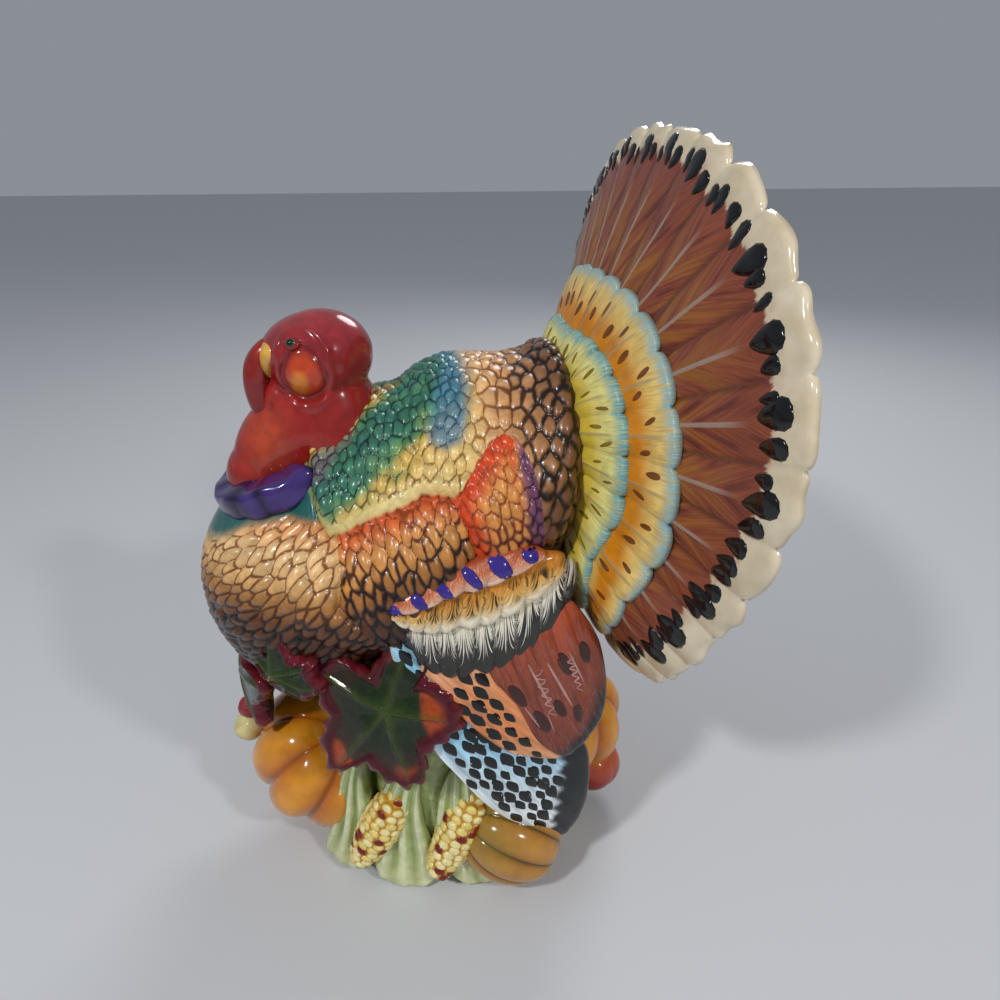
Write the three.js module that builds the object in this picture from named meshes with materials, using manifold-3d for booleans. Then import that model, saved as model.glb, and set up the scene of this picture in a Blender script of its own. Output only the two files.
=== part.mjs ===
// A glazed ceramic turkey standing on a mound of harvest fruit.
// Millimetres, +Z up. The bird faces -Y and its left side is +X. The origin is on the ground,
// under the middle of the foot. Every casting or sprig is a solid of its own, luted to the ones it
// sits on with a thin film of slip, which is the gap left between them.
import * as THREE from 'three';
import { mergeVertices } from 'three/addons/utils/BufferGeometryUtils.js';
import Module from 'manifold-3d';

const wasm = await Module();
wasm.setup();

// Driving dimensions: walls and seats
const SEAT_GAP = 0.3;
const WALL = 5;
const VENT_RADIUS = 6;
const VENT_OFFSET = 20;

// Driving dimensions: body, from the breast at the front to the rump under the tail
const BREAST_FRONT = -95;
const BREAST_RADIUS = 52;
const BREAST_HEIGHT = 148;
const BACK_PLACE = 4;
const BACK_DEPTH = 66;
const BACK_WIDTH = 57;
const RUMP_REAR = 61;
const RUMP_DEPTH = 45;
const RUMP_WIDTH = 47;
const RUMP_EDGE = 9;
const BODY_RISE = 0.58;
const BODY_RISE_START = 24;

// Driving dimensions: raised lobes of feathers on each side, as place along and up, half sizes, height
const FLANK_LOBE = { y: -20, z: 168, along: 40, up: 36, height: 7 };
const HIP_LOBE = { y: 36, z: 194, along: 22, up: 32, height: 5 };

// Driving dimensions: the feather coat, thicker over the cape and the hip, whose lower edge is drawn in side view
const FEATHER_COAT = 1.2;
const CAPE_HEIGHT = 2.6;
const CAPE_LAP = 4;
const CAPE_EDGE = [[-60, 240], [-46, 206], [-37, 184], [-21, 192], [5, 202], [24, 196], [46, 160], [61, 150]];
const HIP_PATCH = { y: 30, z: 192, along: 18, up: 29 };
const COLLAR_HEIGHT = 11;
const COLLAR_FRONT = -46;
const COLLAR_REAR = -6;
const COLLAR_FADE = 14;

// Driving dimensions: head
const SKULL_WIDTH = 21;
const SKULL_LENGTH = 21.5;
const SKULL_DEPTH = 21.5;
const SKULL_HEIGHT = 92;
const THROAT_RADIUS = 19;
const THROAT_LEAN = 26;
const NECK_RADIUS = 22;
const SNOOD_RADIUS = 5;
const SNOOD_DROP = 38;
const BEAK_LENGTH = 17;
const BEAK_RADIUS = 5.5;
const RUFF_WIDTH = 27;
const RUFF_REACH = 25;
const RUFF_HEIGHT = 10;
const RUFF_THICKNESS = 7;

// Driving dimensions: tail, three rows of feathers on cones that open to the rear
const TAIL_HUB_HEIGHT = 208;
const FAN_FEATHERS = 25;
const FAN_TOP_REACH = 127;
const FAN_WIDE_REACH = 144;
const FAN_LOW_REACH = 121;
const FAN_SPREAD = 150;
const FAN_WIDEST = 66;
const FAN_LOWEST = 120;
const FAN_BEHIND_RUMP = 0;
const FAN_THICKNESS = 4.5;
const FAN_SWEEP = 72;
const FAN_SCALLOP = 3.5;
const FAN_VALLEY = 2.2;
const OUTER_COVERTS_REACH = 90;
const OUTER_COVERTS_TOP = 0.78;
const OUTER_COVERTS_THICKNESS = 5.5;
const INNER_COVERTS_REACH = 68;
const INNER_COVERTS_TOP = 0.62;
const INNER_COVERTS_THICKNESS = 7;
const COVERTS_WIDEST = 80;
const COVERTS_STEP = 4;
const COVERTS_SCALLOPS = 24;
const COVERTS_SCALLOP = 2.4;
const COVERTS_VALLEY = 1.8;

// Driving dimensions: wings, drawn in side view and hung on a curved sheet beside the body
const WING_TOP = 170;
const WING_FRONT = -18;
const WING_TIP_HEIGHT = 22;
const WING_BULGE = 15;
const WING_THICKNESS = 4;
const WING_BACKING = 24;
const ROW_THICKNESS = 5;
const ROW_BACKING = 9;
const ROW_STEP = 3.5;

// Driving dimensions: base mound
const BASE_WIDTH = 104;
const BASE_LENGTH = 136;
const BASE_HEIGHT = 122;
const BASE_SHIFT = 12;
const BASE_WAIST = 0.82;
const FOOT_CHAMFER = 5;

// Driving dimensions: harvest sprigs
const PUMPKIN_RADIUS = 36;
const PUMPKIN_DEPTH = 33;
const PUMPKIN_RIBS = 10;
const PUMPKIN_RIB_DEPTH = 0.15;
const FRONT_PUMPKIN_HEIGHT = 40;
const FRONT_PUMPKIN_SINK = 37;
const REAR_PUMPKIN_HEIGHT = 49;
const REAR_PUMPKIN_SINK = 47;
const GOURD_RADIUS = 24;
const GOURD_DEPTH = 21;
const GOURD_HEIGHT = 22;
const GOURD_SINK = 19;
const APPLE_RADIUS = 15;
const APPLE_SINK = 8;
const FRONT_APPLE_HEIGHT = 52;
const REAR_APPLE_HEIGHT = 21;
const CORN_RADIUS = 10.2;
const CORN_LENGTH = 47;
const CORN_TOP_HEIGHT = 44;
const HUSK_WIDTH = 11;
const HUSK_THICKNESS = 6;
const HUSK_LENGTH = 64;
const BIG_LEAF_PLACE = -19;
const BREAST_LEAF_PLACE = -62;
const FRONT_LEAF_PLACE = -70;
const LEAF_RADIUS = 32;
const LEAF_THICKNESS = 4;
const LEAF_BACKING = 10;
const LEAF_LOBES = 5;
const LEAF_NOTCH = 0.38;

// Glaze colours
const GLAZE_ROUGHNESS = 0.15;
const COLOURS = {
  tan: 0xc98a4b,
  crimson: 0x8e1616,
  darkRed: 0x6f1013,
  ochre: 0xd79a3a,
  purple: 0x3d1a5e,
  redBrown: 0x7a3a22,
  orange: 0xd98a24,
  yellow: 0xe2c04a,
  cream: 0xe6d6b4,
  salmon: 0xd9865a,
  paleBlue: 0xa9c7d6,
  amber: 0xd98420,
  sage: 0xa9b06a,
  burgundy: 0x5d1a22,
  earth: 0x8a5a2e,
};

const UP = new THREE.Vector3(0, 0, 1);

function vec(x, y, z) {
  return new THREE.Vector3(x, y, z);
}

function smooth(from, to, value) {
  return THREE.MathUtils.smoothstep(value, from, to);
}

function radians(degrees) {
  return THREE.MathUtils.degToRad(degrees);
}

// Forms: each is a ball whose points are moved to a place worked out from their turn and lift.
function ballForm(columns, rows, place) {
  const form = new THREE.SphereGeometry(1, columns, rows);
  form.rotateX(Math.PI / 2);
  const points = form.attributes.position;
  const point = new THREE.Vector3();
  for (let i = 0; i < points.count; i += 1) {
    point.fromBufferAttribute(points, i);
    const lift = Math.asin(THREE.MathUtils.clamp(point.z, -1, 1));
    const turn = Math.atan2(point.y, point.x);
    const put = place(turn, lift);
    points.setXYZ(i, put.x, put.y, put.z);
  }
  return joined(form);
}

function joined(form) {
  form.deleteAttribute('normal');
  form.deleteAttribute('uv');
  return mergeVertices(form, 1e-3);
}

// The height of a chain of straight pieces at a place along it
function heightAlong(line, place) {
  const next = Math.max(1, line.findIndex(([start]) => start >= place));
  const [from, low] = line[next - 1];
  const [to, high] = line[next];
  return THREE.MathUtils.mapLinear(THREE.MathUtils.clamp(place, from, to), from, to, low, high);
}

// An egg with its own axes, leaning about X
function eggForm(columns, rows, centre, radii, lean) {
  return ballForm(columns, rows, (turn, lift) => {
    const flat = Math.cos(lift);
    const point = vec(flat * Math.cos(turn), flat * Math.sin(turn), Math.sin(lift));
    point.multiply(radii).applyAxisAngle(vec(1, 0, 0), radians(lean));
    return point.add(centre);
  });
}

// A rounded bar along a curve: girth gives its half width along side and its half depth
function limbForm(columns, rows, curve, side, girth) {
  return ballForm(columns, rows, (turn, lift) => {
    const share = (1 + Math.sin(lift)) / 2;
    const tangent = curve.getTangent(share);
    const across = side.clone().addScaledVector(tangent, -side.dot(tangent)).normalize();
    const deep = tangent.clone().cross(across);
    const size = girth(share);
    const point = curve.getPoint(share);
    point.addScaledVector(across, size.wide * Math.cos(lift) * Math.cos(turn));
    return point.addScaledVector(deep, size.deep * Math.cos(lift) * Math.sin(turn));
  });
}

// A cushion-edged plate: an outline around a middle, laid on a sheet that gives place and normal.
// Its face stands proud of the sheet by thickness and its back reaches in by backing, less any valley.
function plateForm(columns, rows, middle, outline, sheet, thickness, backing = thickness, valley = () => 0) {
  const edgeFullness = 0.6;
  return ballForm(columns, rows, (turn, lift) => {
    const rim = outline(turn);
    const out = Math.cos(lift);
    const spot = sheet(middle.x + rim.x * out, middle.y + rim.y * out);
    const side = lift > 0 ? thickness - valley(turn) : valley(turn) - backing;
    const height = side * Math.abs(Math.sin(lift)) ** edgeFullness;
    return spot.at.addScaledVector(spot.normal, height);
  });
}

function mirrored(form) {
  const copy = form.clone().scale(-1, 1, 1);
  const corners = copy.index.array;
  for (let i = 0; i < corners.length; i += 3) {
    const kept = corners[i];
    corners[i] = corners[i + 1];
    corners[i + 1] = kept;
  }
  return copy;
}

function swollen(form, gap) {
  const copy = form.clone();
  copy.computeVertexNormals();
  const points = copy.attributes.position;
  const normals = copy.attributes.normal;
  for (let i = 0; i < points.count; i += 1) {
    const x = points.getX(i) + normals.getX(i) * gap;
    const y = points.getY(i) + normals.getY(i) * gap;
    points.setXYZ(i, x, y, points.getZ(i) + normals.getZ(i) * gap);
  }
  return copy;
}

// Solids
function solidOf(form) {
  const vertProperties = new Float32Array(form.attributes.position.array);
  const triVerts = new Uint32Array(form.index.array);
  return new wasm.Manifold(new wasm.Mesh({ numProp: 3, vertProperties, triVerts }));
}

function unionOf(forms) {
  return forms.map(solidOf).reduce((sum, next) => sum.add(next));
}

function largestOf(solid) {
  const bodies = solid.decompose();
  return bodies.reduce((best, next) => (next.volume() > best.volume() ? next : best));
}

function geometryOf(solid) {
  const mesh = solid.getMesh();
  const geometry = new THREE.BufferGeometry();
  geometry.setAttribute('position', new THREE.BufferAttribute(mesh.vertProperties, 3));
  geometry.setIndex(new THREE.BufferAttribute(mesh.triVerts, 1));
  return geometry;
}

// Pieces: each new one is cut back from those already set, so the first set keeps its full shape.
const turkey = new THREE.Group();
turkey.name = 'ceramic_turkey';
const seated = [];

function addMesh(name, solid, colour) {
  const material = new THREE.MeshStandardMaterial({
    color: COLOURS[colour],
    roughness: GLAZE_ROUGHNESS,
    metalness: 0,
  });
  const mesh = new THREE.Mesh(geometryOf(solid), material);
  mesh.name = name;
  turkey.add(mesh);
}

function cutBack(solid) {
  return seated.reduce((rest, neighbour) => rest.subtract(neighbour), solid);
}

function setPiece(name, colour, forms, hollow = []) {
  let solid = cutBack(unionOf(forms));
  for (const space of hollow) {
    solid = solid.subtract(space);
  }
  addMesh(name, largestOf(solid), colour);
  seated.push(unionOf(forms.map((form) => swollen(form, SEAT_GAP))));
}

function setPair(name, colour, forms) {
  setPiece(`left_${name}`, colour, forms);
  setPiece(`right_${name}`, colour, forms.map(mirrored));
}

// Body sections: middle height, half depth and half width at a place along the bird
const BREAST_CENTRE = BREAST_FRONT + BREAST_RADIUS;

function sectionAt(y) {
  const forward = smooth(BREAST_CENTRE, BACK_PLACE, y);
  const rearward = smooth(BACK_PLACE, RUMP_REAR - RUMP_EDGE, y);
  const fullDepth = THREE.MathUtils.lerp(BREAST_RADIUS, BACK_DEPTH, forward);
  const fullWidth = THREE.MathUtils.lerp(BREAST_RADIUS, BACK_WIDTH, forward);
  const nose = Math.max(0, (BREAST_CENTRE - y) / BREAST_RADIUS);
  const round = Math.sqrt(Math.max(0, 1 - nose ** 2));
  const intoEdge = Math.max(0, 1 - (RUMP_REAR - y) / RUMP_EDGE);
  const edge = RUMP_EDGE * (1 - Math.sqrt(Math.max(0, 1 - intoEdge ** 2)));
  const behind = Math.max(0, y - BREAST_CENTRE);
  const start = Math.min(behind, BODY_RISE_START);
  const climb = start ** 2 / (2 * BODY_RISE_START) + behind - start;
  return {
    middle: BREAST_HEIGHT + BODY_RISE * climb,
    depth: THREE.MathUtils.lerp(fullDepth, RUMP_DEPTH, rearward) * round - edge,
    width: THREE.MathUtils.lerp(fullWidth, RUMP_WIDTH, rearward) * round - edge,
  };
}

function lobeRise(lobe, y, z) {
  const away = ((y - lobe.y) / lobe.along) ** 2 + ((z - lobe.z) / lobe.up) ** 2;
  return away < 1 ? lobe.height * (1 - away ** 2) : 0;
}

function capeRise(y, z) {
  const cape = smooth(-CAPE_LAP / 2, CAPE_LAP / 2, z - heightAlong(CAPE_EDGE, y));
  const away = ((y - HIP_PATCH.y) / HIP_PATCH.along) ** 2 + ((z - HIP_PATCH.z) / HIP_PATCH.up) ** 2;
  return CAPE_HEIGHT * Math.max(cape, smooth(-1.1, -0.8, -away));
}

// The front of the cape stands up round the neck
function collarRise(y, upward) {
  const front = smooth(COLLAR_FRONT - COLLAR_FADE / 2, COLLAR_FRONT + COLLAR_FADE / 2, y);
  const rear = smooth(COLLAR_REAR - COLLAR_FADE / 2, COLLAR_REAR + COLLAR_FADE / 2, y);
  return COLLAR_HEIGHT * smooth(0.6, 0.93, upward) * front * (1 - rear);
}

function bodyPlace(turn, lift, inset) {
  const front = BREAST_FRONT + inset;
  const length = RUMP_REAR - inset - front;
  const y = front + (length * (1 + Math.sin(lift))) / 2;
  const section = sectionAt(y);
  const closed = Math.abs(lift) > Math.PI / 2 - 1e-6 ? 0 : 1;
  const depth = Math.max(0, section.depth - inset) * closed;
  const width = Math.max(0, section.width - inset) * closed;
  const z = section.middle - depth * Math.sin(turn);
  const sideways = Math.cos(turn);
  const rise = lobeRise(FLANK_LOBE, y, z) + lobeRise(HIP_LOBE, y, z);
  const coat = (FEATHER_COAT + capeRise(y, z)) * smooth(0, 12, depth) + collarRise(y, -Math.sin(turn));
  const relief = inset > 0 ? 0 : coat + rise * Math.abs(sideways) * closed;
  const lifted = inset > 0 ? 0 : coat * Math.sin(turn);
  return vec(sideways * (width + relief), y, z - lifted);
}

function bodyForm(columns, rows, inset) {
  return ballForm(columns, rows, (turn, lift) => bodyPlace(turn, lift, inset));
}

// The mound under the bird: half sizes shrink with height
function moundShare(z) {
  const height = THREE.MathUtils.clamp(z / BASE_HEIGHT, 0, 1);
  const foot = z < FOOT_CHAMFER ? (0.06 * (FOOT_CHAMFER - z)) / FOOT_CHAMFER : 0;
  return 1 - (1 - BASE_WAIST) * height ** 1.2 - foot;
}

// A place on the mound, from a bearing around it (0 at the left side, 90 at the tail) and a height
function moundPlace(bearing, z, outward = 0) {
  const angle = radians(bearing);
  const share = moundShare(z);
  const halfWidth = BASE_WIDTH / 2;
  const halfLength = BASE_LENGTH / 2;
  const out = vec(Math.cos(angle) / halfWidth, Math.sin(angle) / halfLength, 0).normalize();
  const at = vec(Math.cos(angle) * halfWidth * share, Math.sin(angle) * halfLength * share, z);
  return at.add(vec(0, BASE_SHIFT, 0)).addScaledVector(out, outward);
}

function moundForm(sides, inset) {
  const levels = [0, FOOT_CHAMFER, BASE_HEIGHT * 0.35, BASE_HEIGHT * 0.65, BASE_HEIGHT];
  const profile = [new THREE.Vector2(0, 0)];
  for (const level of levels) {
    profile.push(new THREE.Vector2(moundShare(level), level));
  }
  profile.push(new THREE.Vector2(0, BASE_HEIGHT));
  const form = joined(new THREE.LatheGeometry(profile, sides));
  form.rotateX(Math.PI / 2);
  form.scale(BASE_WIDTH / 2 - inset, BASE_LENGTH / 2 - inset, 1 - (2 * inset) / BASE_HEIGHT);
  return form.translate(0, BASE_SHIFT, inset);
}

function ventForm(y, z, length) {
  const form = joined(new THREE.CylinderGeometry(VENT_RADIUS, VENT_RADIUS, length, 16));
  return form.rotateX(Math.PI / 2).translate(0, y, z);
}

// Body and base, both hollow castings that share one air space through the belly vent
const bellyHeight = sectionAt(VENT_OFFSET).middle - sectionAt(VENT_OFFSET).depth;
const bellyVent = solidOf(ventForm(VENT_OFFSET, bellyHeight, 6 * WALL));
const footVent = solidOf(ventForm(-VENT_OFFSET, 0, 4 * WALL));
const bodyHollow = solidOf(bodyForm(16, 12, WALL));
const underBody = solidOf(swollen(bodyForm(24, 18, 0), WALL + SEAT_GAP));
const bodyColumns = 32;
const bodyRows = 24;
const baseHollow = solidOf(moundForm(20, WALL)).subtract(underBody);

setPiece('body', 'tan', [bodyForm(bodyColumns, bodyRows, 0)], [bodyHollow, bellyVent]);
setPiece('base_mound', 'earth', [moundForm(28, 0)], [baseHollow, bellyVent, footVent]);

// Head: skull, throat and neck are one casting that sits on the shoulders
const skullPlace = vec(0, BREAST_CENTRE + 5, BREAST_HEIGHT + SKULL_HEIGHT);
const throatFoot = vec(0, skullPlace.y - THROAT_LEAN, BREAST_HEIGHT + 24);
const neckFoot = vec(0, skullPlace.y + 2, BREAST_HEIGHT + 12);

function headForms() {
  const skull = eggForm(16, 10, skullPlace, vec(SKULL_WIDTH, SKULL_LENGTH, SKULL_DEPTH), 8);
  const throatTop = skullPlace.clone().add(vec(0, -8, 2));
  const throatLine = new THREE.LineCurve3(throatFoot, throatTop);
  const throat = limbForm(14, 8, throatLine, vec(1, 0, 0), () => {
    return { wide: THROAT_RADIUS, deep: THROAT_RADIUS };
  });
  const neckLine = new THREE.LineCurve3(neckFoot, skullPlace);
  const neck = limbForm(14, 8, neckLine, vec(1, 0, 0), () => {
    return { wide: NECK_RADIUS, deep: NECK_RADIUS };
  });
  return [skull, throat, neck];
}

// The snood hangs from the brow over the beak, to the left of it
function snoodForm() {
  const brow = skullPlace.clone().add(vec(2, -SKULL_LENGTH * 0.72, SKULL_DEPTH * 0.55));
  const bow = skullPlace.clone().add(vec(2, -SKULL_LENGTH - 8, SKULL_DEPTH * 0.2));
  const end = brow.clone().add(vec(-1, -9, -SNOOD_DROP));
  const fall = new THREE.QuadraticBezierCurve3(brow, bow, end);
  return limbForm(10, 10, fall, vec(1, 0, 0), (share) => {
    const girth = SNOOD_RADIUS * (0.9 + 0.3 * share);
    return { wide: girth, deep: girth };
  });
}

function beakForm() {
  const root = skullPlace.clone().add(vec(0, -SKULL_LENGTH * 0.6, 2));
  const tip = root.clone().add(vec(0, -BEAK_LENGTH, -BEAK_LENGTH * 0.45));
  const line = new THREE.LineCurve3(root, tip);
  return limbForm(10, 8, line, vec(1, 0, 0), (share) => {
    return { wide: BEAK_RADIUS * (1.3 - share * 0.6), deep: BEAK_RADIUS };
  });
}

function ruffForm() {
  const middle = throatFoot.clone().lerp(neckFoot, 0.35);
  middle.z = BREAST_HEIGHT + BREAST_RADIUS * 0.88;
  const form = joined(new THREE.TorusGeometry(1, RUFF_THICKNESS / RUFF_WIDTH, 8, 22));
  form.scale(RUFF_WIDTH, RUFF_REACH, (RUFF_HEIGHT * RUFF_WIDTH) / RUFF_THICKNESS);
  form.rotateX(radians(14));
  return form.translate(middle.x, middle.y, middle.z);
}

setPiece('head', 'crimson', headForms());
setPiece('snood', 'darkRed', [snoodForm()]);
setPiece('beak', 'ochre', [beakForm()]);
setPiece('neck_ruff', 'purple', [ruffForm()]);

// Tail: each row is a scalloped plate on a cone that opens to the rear
function tailReach(turnFromTop) {
  const away = Math.abs(turnFromTop);
  const wide = THREE.MathUtils.lerp(FAN_TOP_REACH, FAN_WIDE_REACH, smooth(0, FAN_WIDEST, away));
  const reach = THREE.MathUtils.lerp(wide, FAN_LOW_REACH, smooth(FAN_WIDEST, FAN_LOWEST, away));
  if (away <= FAN_SPREAD) {
    return reach;
  }
  return (reach * Math.cos(radians(180 - FAN_SPREAD))) / Math.cos(radians(180 - away));
}

function tailSheet(hub) {
  const sweep = radians(FAN_SWEEP);
  return (across, up) => {
    const reach = Math.hypot(across, up);
    const aside = reach > 0 ? across / reach : 0;
    const above = reach > 0 ? up / reach : 0;
    const lean = reach > 0 ? Math.cos(sweep) : 0;
    const level = Math.sqrt(1 - lean ** 2);
    return {
      at: hub.clone().add(vec(across * Math.sin(sweep), reach * Math.cos(sweep), up * Math.sin(sweep))),
      normal: vec(aside * lean, -level, above * lean),
    };
  };
}

function degreesFromTop(turn) {
  const fromTop = 90 - THREE.MathUtils.radToDeg(turn);
  return THREE.MathUtils.euclideanModulo(fromTop + 180, 360) - 180;
}

// Feathers side by side: each ends in a scallop, and a valley runs between it and the next
function tailForm(columns, hub, reachAt, pitch, scallop, dip, thickness) {
  const shaftShare = (turn) => Math.abs(Math.cos((Math.PI * degreesFromTop(turn)) / pitch));
  const outline = (turn) => {
    const reach = reachAt(degreesFromTop(turn)) - scallop * (1 - shaftShare(turn));
    return new THREE.Vector2(Math.cos(turn) * reach, Math.sin(turn) * reach);
  };
  const valley = (turn) => dip * (1 - shaftShare(turn));
  return plateForm(columns, 6, new THREE.Vector2(), outline, tailSheet(hub), thickness, thickness, valley);
}

const fanHub = vec(0, RUMP_REAR + FAN_BEHIND_RUMP, TAIL_HUB_HEIGHT);
const outerHub = fanHub.clone().add(vec(0, -COVERTS_STEP, 0));
const innerHub = outerHub.clone().add(vec(0, -COVERTS_STEP, 0));
const fanPitch = (2 * FAN_SPREAD) / FAN_FEATHERS;
const covertsPitch = 360 / COVERTS_SCALLOPS;

function covertsForm(hub, reach, top, thickness) {
  const reachAt = (fromTop) => {
    return reach * THREE.MathUtils.lerp(top, 1, smooth(0, COVERTS_WIDEST, Math.abs(fromTop)));
  };
  const columns = 3 * COVERTS_SCALLOPS;
  return tailForm(columns, hub, reachAt, covertsPitch, COVERTS_SCALLOP, COVERTS_VALLEY, thickness);
}

setPiece('inner_tail_coverts', 'yellow', [
  covertsForm(innerHub, INNER_COVERTS_REACH, INNER_COVERTS_TOP, INNER_COVERTS_THICKNESS),
]);
setPiece('outer_tail_coverts', 'orange', [
  covertsForm(outerHub, OUTER_COVERTS_REACH, OUTER_COVERTS_TOP, OUTER_COVERTS_THICKNESS),
]);
setPiece('tail_fan', 'redBrown', [
  tailForm(120, fanHub, tailReach, fanPitch, FAN_SCALLOP, FAN_VALLEY, FAN_THICKNESS),
]);

// Leaves: lobed plates laid against a surface
function leafForm(centre, normal, roll, size) {
  const across = UP.clone().cross(normal).normalize();
  const up = normal.clone().cross(across);
  const turned = across.clone().applyAxisAngle(normal, radians(roll));
  const risen = up.clone().applyAxisAngle(normal, radians(roll));
  const outline = (turn) => {
    const dip = 0.5 - 0.5 * Math.cos(LEAF_LOBES * (turn - Math.PI / 2));
    const reach = size * (1 - LEAF_NOTCH * dip);
    return new THREE.Vector2(Math.cos(turn) * reach, Math.sin(turn) * reach);
  };
  const sheet = (a, b) => {
    const droop = (a * a + b * b) / (size * 5);
    const at = centre.clone().addScaledVector(turned, a).addScaledVector(risen, b);
    return { at: at.addScaledVector(normal, -droop), normal: normal.clone() };
  };
  return plateForm(30, 4, new THREE.Vector2(), outline, sheet, LEAF_THICKNESS, LEAF_BACKING);
}

// A leaf hung on the bird's lower side, at shares of the body's half width and half depth there
function leafOnBody(y, acrossShare, downShare, facing, roll, size) {
  const section = sectionAt(y);
  const height = section.middle - section.depth * downShare;
  return leafForm(vec(section.width * acrossShare, y, height), facing.normalize(), roll, size);
}

const breastLeafRadius = 0.8 * LEAF_RADIUS;
setPair('big_leaf', 'burgundy', [
  leafOnBody(BIG_LEAF_PLACE, 1, 0.8, vec(0.9, -0.25, 0.2), 195, LEAF_RADIUS),
]);
setPair('breast_leaf', 'burgundy', [
  leafOnBody(BREAST_LEAF_PLACE, 0.68, 0.76, vec(0.62, -0.7, 0.05), 240, breastLeafRadius),
]);

setPiece('front_leaf', 'burgundy', [
  leafOnBody(FRONT_LEAF_PLACE, 0, 1.1, vec(0, -1, 0.1), 180, breastLeafRadius),
]);

// Wings: rows of coverts over panels of quills, hung on a sheet from the flank to the foot
const wingTopReach = sectionAt(BACK_PLACE).width;

function wingSheet(layer) {
  const span = WING_TOP - WING_TIP_HEIGHT;
  return (y, z) => {
    const low = (z - WING_TIP_HEIGHT) / span;
    const belly = WING_BULGE * (1 - (low - 0.2) ** 2 / 0.64);
    const sweep = ((y - BACK_PLACE - 10) / 25) ** 2;
    const at = vec(wingTopReach - 4 + belly - sweep + layer * ROW_STEP, y, z);
    return { at, normal: vec(1, 0, 0) };
  };
}

// A panel between a start and an end in side view, with its half width and a lean to its ends
function panelForm(start, end, halfWidth, layer, thickness, backing) {
  const squareness = 0.8;
  const middle = start.clone().add(end).multiplyScalar(0.5);
  const along = end.clone().sub(start).multiplyScalar(0.5);
  const across = new THREE.Vector2(-along.y, along.x).normalize().multiplyScalar(halfWidth);
  const blunt = (value) => Math.sign(value) * Math.abs(value) ** squareness;
  const outline = (turn) => {
    const forward = along.clone().multiplyScalar(blunt(Math.cos(turn)));
    return forward.addScaledVector(across, blunt(Math.sin(turn)));
  };
  return plateForm(20, 4, middle, outline, wingSheet(layer), thickness, backing);
}

function sideView(y, z) {
  return new THREE.Vector2(y, z);
}

function setRow(name, colour, layer, front, rear, halfWidth) {
  setPair(name, colour, [panelForm(front, rear, halfWidth, layer, ROW_THICKNESS, ROW_BACKING)]);
}

function setQuills(name, colour, layer, root, tip, halfWidth) {
  setPair(name, colour, [panelForm(root, tip, halfWidth, layer, WING_THICKNESS, WING_BACKING)]);
}

const rowRear = RUMP_REAR - 1;
const quillEnd = WING_TIP_HEIGHT + 50;
const shoulder = [sideView(WING_FRONT, WING_TOP - 20), sideView(rowRear, WING_TOP + 3)];
const speckled = [sideView(WING_FRONT + 3, WING_TOP - 30), sideView(rowRear + 1, WING_TOP - 7)];
const fringed = [sideView(WING_FRONT + 6, WING_TOP - 37), sideView(rowRear + 2, WING_TOP - 18)];
const brown = [sideView(34, WING_TOP - 30), sideView(66, quillEnd)];
const salmon = [sideView(2, WING_TOP - 40), sideView(54, quillEnd)];
const blue = [sideView(WING_FRONT, WING_TOP - 30), sideView(64, WING_TIP_HEIGHT)];
setRow('wing_shoulder_row', 'salmon', 2, ...shoulder, 9);
setRow('wing_speckled_row', 'ochre', 1, ...speckled, 11);
setRow('wing_fringed_row', 'cream', 0, ...fringed, 16);
setQuills('wing_brown_quills', 'redBrown', 0, ...brown, 19);
setQuills('wing_salmon_quills', 'salmon', -0.5, ...salmon, 19);
setQuills('wing_blue_quills', 'paleBlue', -1, ...blue, 18);

// Fruit: ribbed pumpkins and gourds, apples
function fruitForm(columns, rows, centre, radius, depth, ribs, ribDepth, lean) {
  return ballForm(columns, rows, (turn, lift) => {
    const rib = 1 - ribDepth * (1 - Math.abs(Math.cos((ribs * turn) / 2)));
    const dimple = 1 - 0.3 * Math.abs(Math.sin(lift)) ** 8;
    const flat = radius * Math.cos(lift) * rib;
    const point = vec(flat * Math.cos(turn), flat * Math.sin(turn), depth * Math.sin(lift) * dimple);
    return point.applyAxisAngle(vec(lean.x, lean.y, 0).normalize(), lean.z).add(centre);
  });
}

function fruitOnMound(bearing, height, sink, radius, depth, ribs, ribDepth, lean) {
  const centre = moundPlace(bearing, height, radius - sink);
  return fruitForm(ribs * 2, 8, centre, radius, depth, ribs, ribDepth, lean);
}

const frontLean = vec(-0.45, 0.9, radians(44));
const rearLean = vec(1, 0, radians(-20));
const gourdLean = vec(0.83, 0.56, radians(49));
function pumpkinForm(bearing, height, sink, lean) {
  return fruitOnMound(
    bearing, height, sink, PUMPKIN_RADIUS, PUMPKIN_DEPTH, PUMPKIN_RIBS, PUMPKIN_RIB_DEPTH, lean,
  );
}

function appleForm(bearing, height, lean) {
  return fruitOnMound(bearing, height, APPLE_SINK, APPLE_RADIUS, APPLE_RADIUS, 6, 0.05, lean);
}

setPiece('front_pumpkin', 'amber', [
  pumpkinForm(-90, FRONT_PUMPKIN_HEIGHT, FRONT_PUMPKIN_SINK, frontLean),
]);
setPiece('rear_pumpkin', 'amber', [
  pumpkinForm(90, REAR_PUMPKIN_HEIGHT, REAR_PUMPKIN_SINK, rearLean),
]);
setPair('gourd', 'ochre', [
  fruitOnMound(17, GOURD_HEIGHT, GOURD_SINK, GOURD_RADIUS, GOURD_DEPTH, 9, 0.09, gourdLean),
]);
setPiece('front_apple', 'crimson', [appleForm(-116, FRONT_APPLE_HEIGHT, frontLean)]);
setPiece('rear_apple', 'crimson', [appleForm(80, REAR_APPLE_HEIGHT, rearLean)]);

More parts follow.
